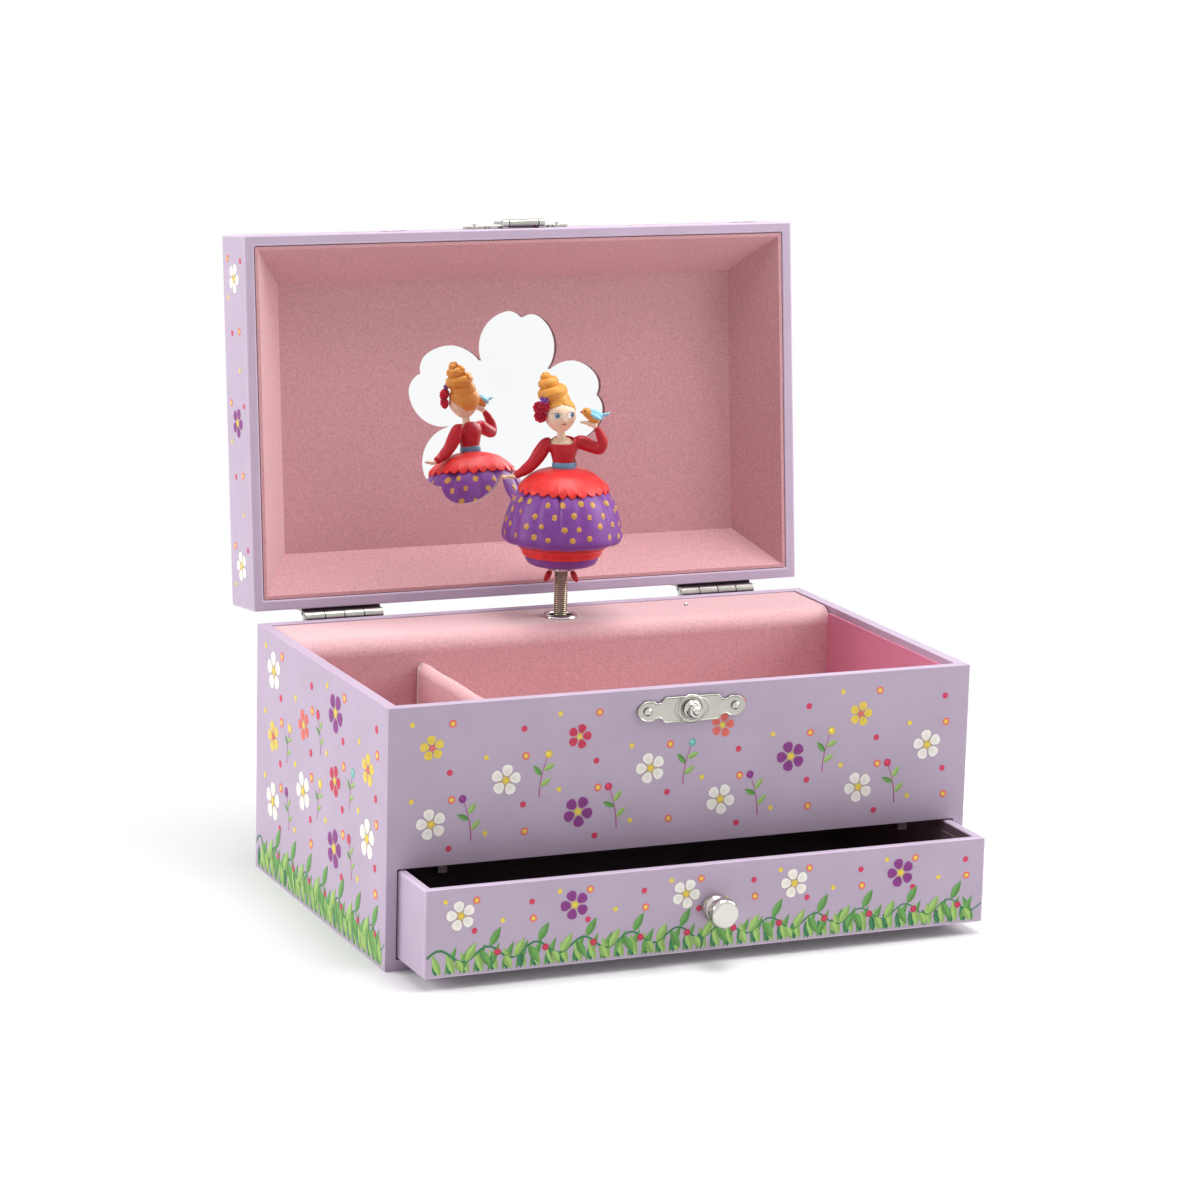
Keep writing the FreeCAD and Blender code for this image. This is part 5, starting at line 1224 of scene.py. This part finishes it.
HEAD_TURN = (Matrix.Translation(Vector((-1.4, -0.3, 136.2))) @ Matrix.Rotation(math.radians(17), 4, "Z")
             @ Matrix.Rotation(math.radians(-2.5), 4, "Y"))
EYE_X, EYE_Z = 2.12, 0.75
NOSE_Z, MOUTH_Z, CHIN_Z = -0.7, -1.9, -4.0
HAIR_ROLLS = [(-3.9, 143.1, 2.45, 2.05), (-5.2, 146.0, 1.5, 1.6), (-6.2, 147.9, 0.6, 0.95)]


def face_point(polar, angle):
    """Surface of the head, with a small chin, by the angle from its crown and the turn from its front."""
    x, y, z = math.sin(polar) * math.sin(angle), -math.sin(polar) * math.cos(angle), math.cos(polar)
    down = max(0.0, -z)
    wide = 4.85 * (1 - 0.26 * down ** 1.6)
    deep = 4.4 * (1 - 0.24 * down ** 1.8)
    point = Vector((x * wide, y * deep, z * (5.1 if z < 0 else 4.9)))

    def mound(across, up, half_wide, half_tall):
        return math.exp(-((point.x - across) / half_wide) ** 2 - ((point.z - up) / half_tall) ** 2)

    if y < 0:
        point.y -= 0.42 * mound(0, NOSE_Z, 0.42, 0.6) + 0.1 * mound(0, MOUTH_Z, 0.9, 0.5)
        point.y -= 0.14 * mound(0, CHIN_Z, 1.1, 0.7)
        point.y += 0.16 * (mound(-EYE_X, EYE_Z, 1.0, 0.8) + mound(EYE_X, EYE_Z, 1.0, 0.8))
    return point


def make_face():
    """The bare head. Its surface is returned for the paint."""
    rings, segments = 90, 120
    points = [face_point(math.pi, math.pi)]
    for row in range(1, rings):
        polar = math.pi - math.pi * row / rings
        points += [face_point(polar, TURN * n / segments) for n in range(segments)]
    points.append(face_point(0, 0))
    last = len(points) - 1
    faces = [(0, 1 + (n + 1) % segments, 1 + n) for n in range(segments)]
    faces += quads(rings - 1, segments, start=1)
    faces += [(last - segments + n, last - segments + (n + 1) % segments, last) for n in range(segments)]
    tree = BVHTree.FromPolygons(points, faces)
    piece = outward(solid("head_face", [HEAD_TURN @ point for point in points], faces, skin_paint))
    on_figure(piece, "head_paint", "dancer_head")
    return tree


class FacePaint(Ink):
    """Paint on the head's front, in (x, z) of its own frame."""

    def __init__(self, tree):
        super().__init__()
        self.tree = tree

    def place(self, x, z, layer):
        lift, layer_step, start = 0.02, 0.018, -12
        hit = self.tree.ray_cast(Vector((x, start, z)), Vector((0, 1, 0)))[0]
        return HEAD_TURN @ (hit + Vector((0, -lift - layer_step * layer, 0)))

    def line(self, path, width, layer, colour):
        for (x, z), (x2, z2) in zip(path, path[1:]):
            ahead = Vector((x2 - x, z2 - z)).normalized()
            side = Vector((-ahead.y, ahead.x)) * width / 2
            rim = [(x + side.x, z + side.y), (x2 + side.x, z2 + side.y),
                   (x2 - side.x, z2 - side.y), (x - side.x, z - side.y)]
            self.fan(((x + x2) / 2, (z + z2) / 2), rim, layer, colour, colour)


def paint_eye(coat, side):
    """Shaded socket, white, iris that looks to the bird, lashes and brow."""
    white, blue = srgb(247, 246, 245), srgb(98, 132, 172)
    half_wide, half_tall = 1.5, 0.86
    x = side * EYE_X
    iris = x + 0.4 + 0.3 * side
    tilt = side * 0.1
    coat.oval(x, EYE_Z + 0.2, half_wide * 1.2, half_tall * 1.4, 0, srgb(222, 190, 176), SKIN)
    coat.oval(x, EYE_Z, half_wide, half_tall, 1, white, srgb(234, 230, 230), tilt)
    coat.oval(iris, EYE_Z, 0.74, 0.76, 2, shade(blue, 1.25), shade(blue, 0.8))
    coat.oval(iris + 0.04, EYE_Z + 0.02, 0.32, 0.36, 3, srgb(38, 50, 78))
    # Small white dot on the iris: a painted highlight.
    coat.oval(iris - 0.2, EYE_Z + 0.3, 0.15, 0.15, 4, white)
    turns = [math.pi * (0.06 + 0.88 * n / 9) for n in range(10)]
    for sign, width, colour in ((1, 0.15, srgb(142, 104, 84)), (-1, 0.07, srgb(206, 166, 146))):
        lid = [(x + half_wide * math.cos(t), EYE_Z + sign * half_tall * math.sin(t) + tilt * math.cos(t))
               for t in turns]
        coat.line(lid, width, 4, colour)
    brow = [(x + 1.5 * math.cos(t), EYE_Z + 0.55 + 0.95 * math.sin(t)) for t in turns[2:8]]
    coat.line(brow, 0.11, 1, srgb(226, 184, 150))


def paint_face(tree):
    coat = FacePaint(tree)
    for side in (-1, 1):
        paint_eye(coat, side)
        coat.oval(side * 2.75, -1.3, 1.0, 0.7, 0, srgb(240, 190, 172), SKIN)
    lips = [(-0.85, 0.0), (-0.4, 0.08), (0.0, 0.0), (0.4, 0.08), (0.85, 0.0)]
    coat.line([(across, MOUTH_Z + up) for across, up in lips], 0.2, 2, srgb(136, 44, 48))
    coat.oval(0.0, MOUTH_Z - 0.17, 0.5, 0.17, 1, srgb(184, 88, 82))
    on_figure(coat.piece("face_painted", detail_paint, True), "head_paint")


def hair_point(share, angle):
    """Surface of the parted front hair, from the crown to the hairline."""
    front = math.cos(angle)
    turn = abs(math.atan2(math.sin(angle), math.cos(angle)))
    low = min(41 + 18 * (turn / 0.98) ** 1.5, 126)
    base = face_point(math.radians(2 + (low - 2) * share), angle)
    strand = 0.07 * math.cos(44 * angle + 5 * share) * share
    part = math.exp(-(turn / 0.09) ** 2) * 0.4 if front > 0 else 0.0
    swell = 0.45 * math.sin(math.pi * min(1.0, share * 1.05)) + 0.1
    if front < 0:
        base.y *= 1.12
    reach = 1 + (swell + strand - part * (0.4 + share)) / 4.7
    return HEAD_TURN @ Vector((base.x * reach, base.y * reach, base.z * reach + 0.25))


def make_hair():
    """Parted front hair over the head, with a beehive of stacked rolls that leans to the side."""
    segments, rings, roll_steps = 160, 40, 72
    points = [hair_point(row / rings, TURN * n / segments)
              for row in range(rings + 1) for n in range(segments)]
    faces = quads(rings + 1, segments) + [tuple(range(segments))]
    cap = outward(solid("hair_parted", points, faces, hair_paint))
    on_figure(thickened(cap, 0.5), "head_paint")
    shapes = []
    for across, height, reach, thick in HAIR_ROLLS:
        path = []
        for n in range(roll_steps + 1):
            share = n / roll_steps
            angle = TURN * share + math.pi / 2
            climb = 0.16 * reach * math.cos(angle) + 0.9 * (share - 0.5)
            path.append(Vector((across + reach * math.cos(angle), 0.8 + 0.95 * reach * math.sin(angle),
                                height + climb)))
        shapes.append(tube(path, [thick] * len(path), 40,
                           lambda turn, share: 1 + 0.03 * math.cos(8 * turn + 9 * share)))
    shapes += chain((-2.4, 0.8, 140.2, 4.1), (-3.9, 0.8, 143.2, 3.1), (-5.2, 0.8, 145.8, 2.0),
                    (-6.1, 0.8, 147.6, 1.15), (-6.6, 0.7, 148.6, 0.6), steps=3)
    on_figure(outward(joined("hair_swirl", shapes, hair_paint)), "head_paint")


# Flowers in the hair, and the bird on the hand

def petal(centre, out, up, length, width, cup):
    """A cupped petal from its foot."""
    side = out.cross(up).normalized()
    steps = 6
    points = []
    for row in range(steps + 1):
        v = row / steps
        half = width / 2 * math.sin(math.pi * min(0.98, 0.12 + 0.72 * v)) ** 0.5
        for column in range(steps + 1):
            u = 2 * column / steps - 1
            curl = cup * (v * v - 0.35 * u * u)
            points.append(centre + out * (length * v * (1 - 0.15 * abs(u))) + up * curl + side * (half * u))
    return points, quads(steps + 1, steps + 1, closed=False)


def bloom(centre, facing, size, rows):
    """Rows of (petals, reach, lift) opening from a bud."""
    facing = Vector(facing).normalized()
    side = facing.orthogonal().normalized()
    other = facing.cross(side)
    foot = Vector(centre) + facing * (-0.12 * size)
    shapes = [ball(centre, size * 0.42)]
    for row, (count, reach, lift) in enumerate(rows):
        for n in range(count):
            angle = TURN * (n + 0.5 * (row % 2)) / count
            out = side * math.cos(angle) + other * math.sin(angle)
            lean = (out * math.cos(lift) + facing * math.sin(lift)).normalized()
            top = (facing * math.cos(lift) - out * math.sin(lift)).normalized()
            shapes.append(petal(foot, lean, top, size * reach, size * reach * 0.95, size * 0.3))
    return shapes


def make_flowers():
    full = [(8, 0.98, 0.25), (7, 0.9, 0.65), (6, 0.78, 1.0), (4, 0.62, 1.3)]
    roses = bloom((-7.2, -2.5, 136.4), (-0.25, -0.94, -0.1), 2.25, full)
    roses += bloom((-7.7, -2.3, 138.9), (-0.3, -0.93, 0.15), 2.1, full)
    roses += bloom((-6.2, -2.9, 139.1), (-0.1, -0.95, 0.2), 1.9, full)
    violet = bloom((-6.2, -2.7, 141.3), (-0.3, -0.9, 0.3), 1.5, [(6, 1.0, 0.25), (5, 0.7, 0.9)])
    for name, shapes, material in (("hair_roses", roses, rose_paint), ("hair_violet", violet, violet_paint)):
        on_figure(thickened(joined(name, shapes, material), 0.14), "head_paint")


def make_bird():
    """Breast, wings with a spread tail, beak and eyes."""
    body = chain((6.4, -2.8, 138.0, 1.35), (7.5, -2.7, 137.1, 1.5), (8.8, -2.6, 136.2, 1.5),
                 (9.6, -2.6, 135.4, 0.9))
    sculpt("bird_body", body, robin_paint, 0.14, 5, "bird_paint", "dancer_bird")
    wings = chain((7.7, -2.6, 138.0, 0.95), (9, -2.6, 137.4, 1.4), (10.4, -2.5, 136.8, 1.15),
                  (11.2, -2.5, 136.8, 0.8))
    for side in (-1, 1):
        wings += chain((8, -2.6 + side * 1.1, 137.5, 0.5), (9.3, -2.6 + side * 1.35, 136.8, 0.72),
                       (10.6, -2.5 + side * 0.9, 136.1, 0.5))
    for spread in (-0.5, 0.0, 0.5):
        wings += chain((10.6, -2.5, 136.9, 0.62), (12.1, -2.5 + spread * 0.7, 137.3, 0.45),
                       (13.2, -2.5 + spread, 137.7, 0.3))
    sculpt("bird_wings", wings, wing_paint, 0.13, 4, "bird_paint")
    path = [Vector((5.4, -2.85, 138.0)), Vector((4.9, -2.88, 137.85)), Vector((4.5, -2.9, 137.7))]
    beak = joined("bird_beak", [tube(path, [0.5, 0.3, 0.05], 16)], red_paint)
    on_figure(outward(beak), "bird_paint")
    balls = [ball((5.95, -2.8 + side * 1.18, 138.5), 0.26) for side in (-1, 1)]
    eyes = joined("bird_eyes", balls, detail_paint)
    on_figure(tinted(eyes, [srgb(40, 30, 30)] * len(eyes.data.vertices)), "bird_paint")


make_skirt()
make_dots()
make_peplum()
make_legs()
make_torso()
make_hands()
paint_face(make_face())
make_hair()
make_flowers()
make_bird()


# Camera, light and floor

def make_camera():
    """The photograph's point of view."""
    data = bpy.data.cameras.new("camera")
    data.lens = 118.64
    data.sensor_width = 36
    data.clip_start = 0.05
    camera = new_object("camera", data)
    right = Vector((0.91768, -0.39652, 0.02528))
    up = Vector((0.06062, 0.20261, 0.97738))
    turn = Matrix((right, up, right.cross(up))).transposed().to_4x4()
    camera.matrix_world = Matrix.Translation((-0.4588, -1.0386, 0.3320)) @ turn
    scene.camera = camera


def area_light(name, place, target, size, power):
    """Square lamp of a size in metres and a power in watts."""
    data = bpy.data.lights.new(name, "AREA")
    data.shape = "SQUARE"
    data.size = size
    data.energy = power
    lamp = new_object(name, data)
    way = Vector(target) - Vector(place)
    lamp.matrix_world = Matrix.Translation(place) @ way.to_track_quat("-Z", "Y").to_matrix().to_4x4()


def seen_directly(tree):
    """One for rays straight from the eye, off metal or through glass."""
    path = tree.nodes.new("ShaderNodeLightPath")
    total = path.outputs["Is Camera Ray"]
    for name in ("Is Glossy Ray", "Is Transmission Ray"):
        more = tree.nodes.new("ShaderNodeMath")
        more.operation = "MAXIMUM"
        tree.links.new(total, more.inputs[0])
        tree.links.new(path.outputs[name], more.inputs[1])
        total = more.outputs[0]
    return total


def make_world(level):
    """White where it is seen, and a soft fill at a lower level on the object."""
    world = bpy.data.worlds.new("studio")
    scene.world = world
    world.use_nodes = True
    tree = world.node_tree
    background = tree.nodes["Background"]
    background.inputs["Color"].default_value = PURE_WHITE
    strength = tree.nodes.new("ShaderNodeMapRange")
    strength.inputs["To Min"].default_value = level
    strength.inputs["To Max"].default_value = 1.0
    tree.links.new(seen_directly(tree), strength.inputs["Value"])
    tree.links.new(strength.outputs["Result"], background.inputs["Strength"])


def make_floor(near_share):
    """White ground that keeps the shadow under the box and runs out into the white background."""
    reach = 3000
    shadow_start, shadow_end = 0.1, 0.28
    points = [(x, y, 0) for x, y in ((-reach, -reach), (reach, -reach), (reach, reach), (-reach, reach))]
    build = Nodes("floor_white")
    floor = solid("floor", points, [(0, 1, 2, 3)], build.material, False)
    floor.location.y = -0.06
    build.set(Base_Color=(0.86, 0.86, 0.86, 1), Roughness=0.7, Specular_IOR_Level=0.1)
    away = build.add("ShaderNodeVectorMath", operation="LENGTH")
    build.link(build.coordinates, away.inputs[0])
    share = build.add("ShaderNodeMath", operation="MULTIPLY")
    build.link(seen_directly(build.tree), share.inputs[0])
    build.link(build.span(away.outputs["Value"], near_share, 1.0, shadow_start, shadow_end), share.inputs[1])
    white = build.add("ShaderNodeEmission")
    blend = build.add("ShaderNodeMixShader")
    for number, source in enumerate((share, build.shader, white)):
        build.link(source.outputs[0], blend.inputs[number])
    build.link(blend.outputs[0], build.tree.nodes["Material Output"].inputs["Surface"])


make_camera()
make_world(0.3)
make_floor(0.05)
area_light("key", (0.7, -0.22, 0.5), (0.0, 0.0, 0.08), 0.5, 4.7)
area_light("top", (0.1, -0.04, 1.2), (0.0, 0.0, 0.05), 0.7, 11.8)
area_light("side", (-1.0, 0.45, 0.5), (-0.09, 0.0, 0.06), 0.6, 8.5)

scene.view_settings.view_transform = "Standard"
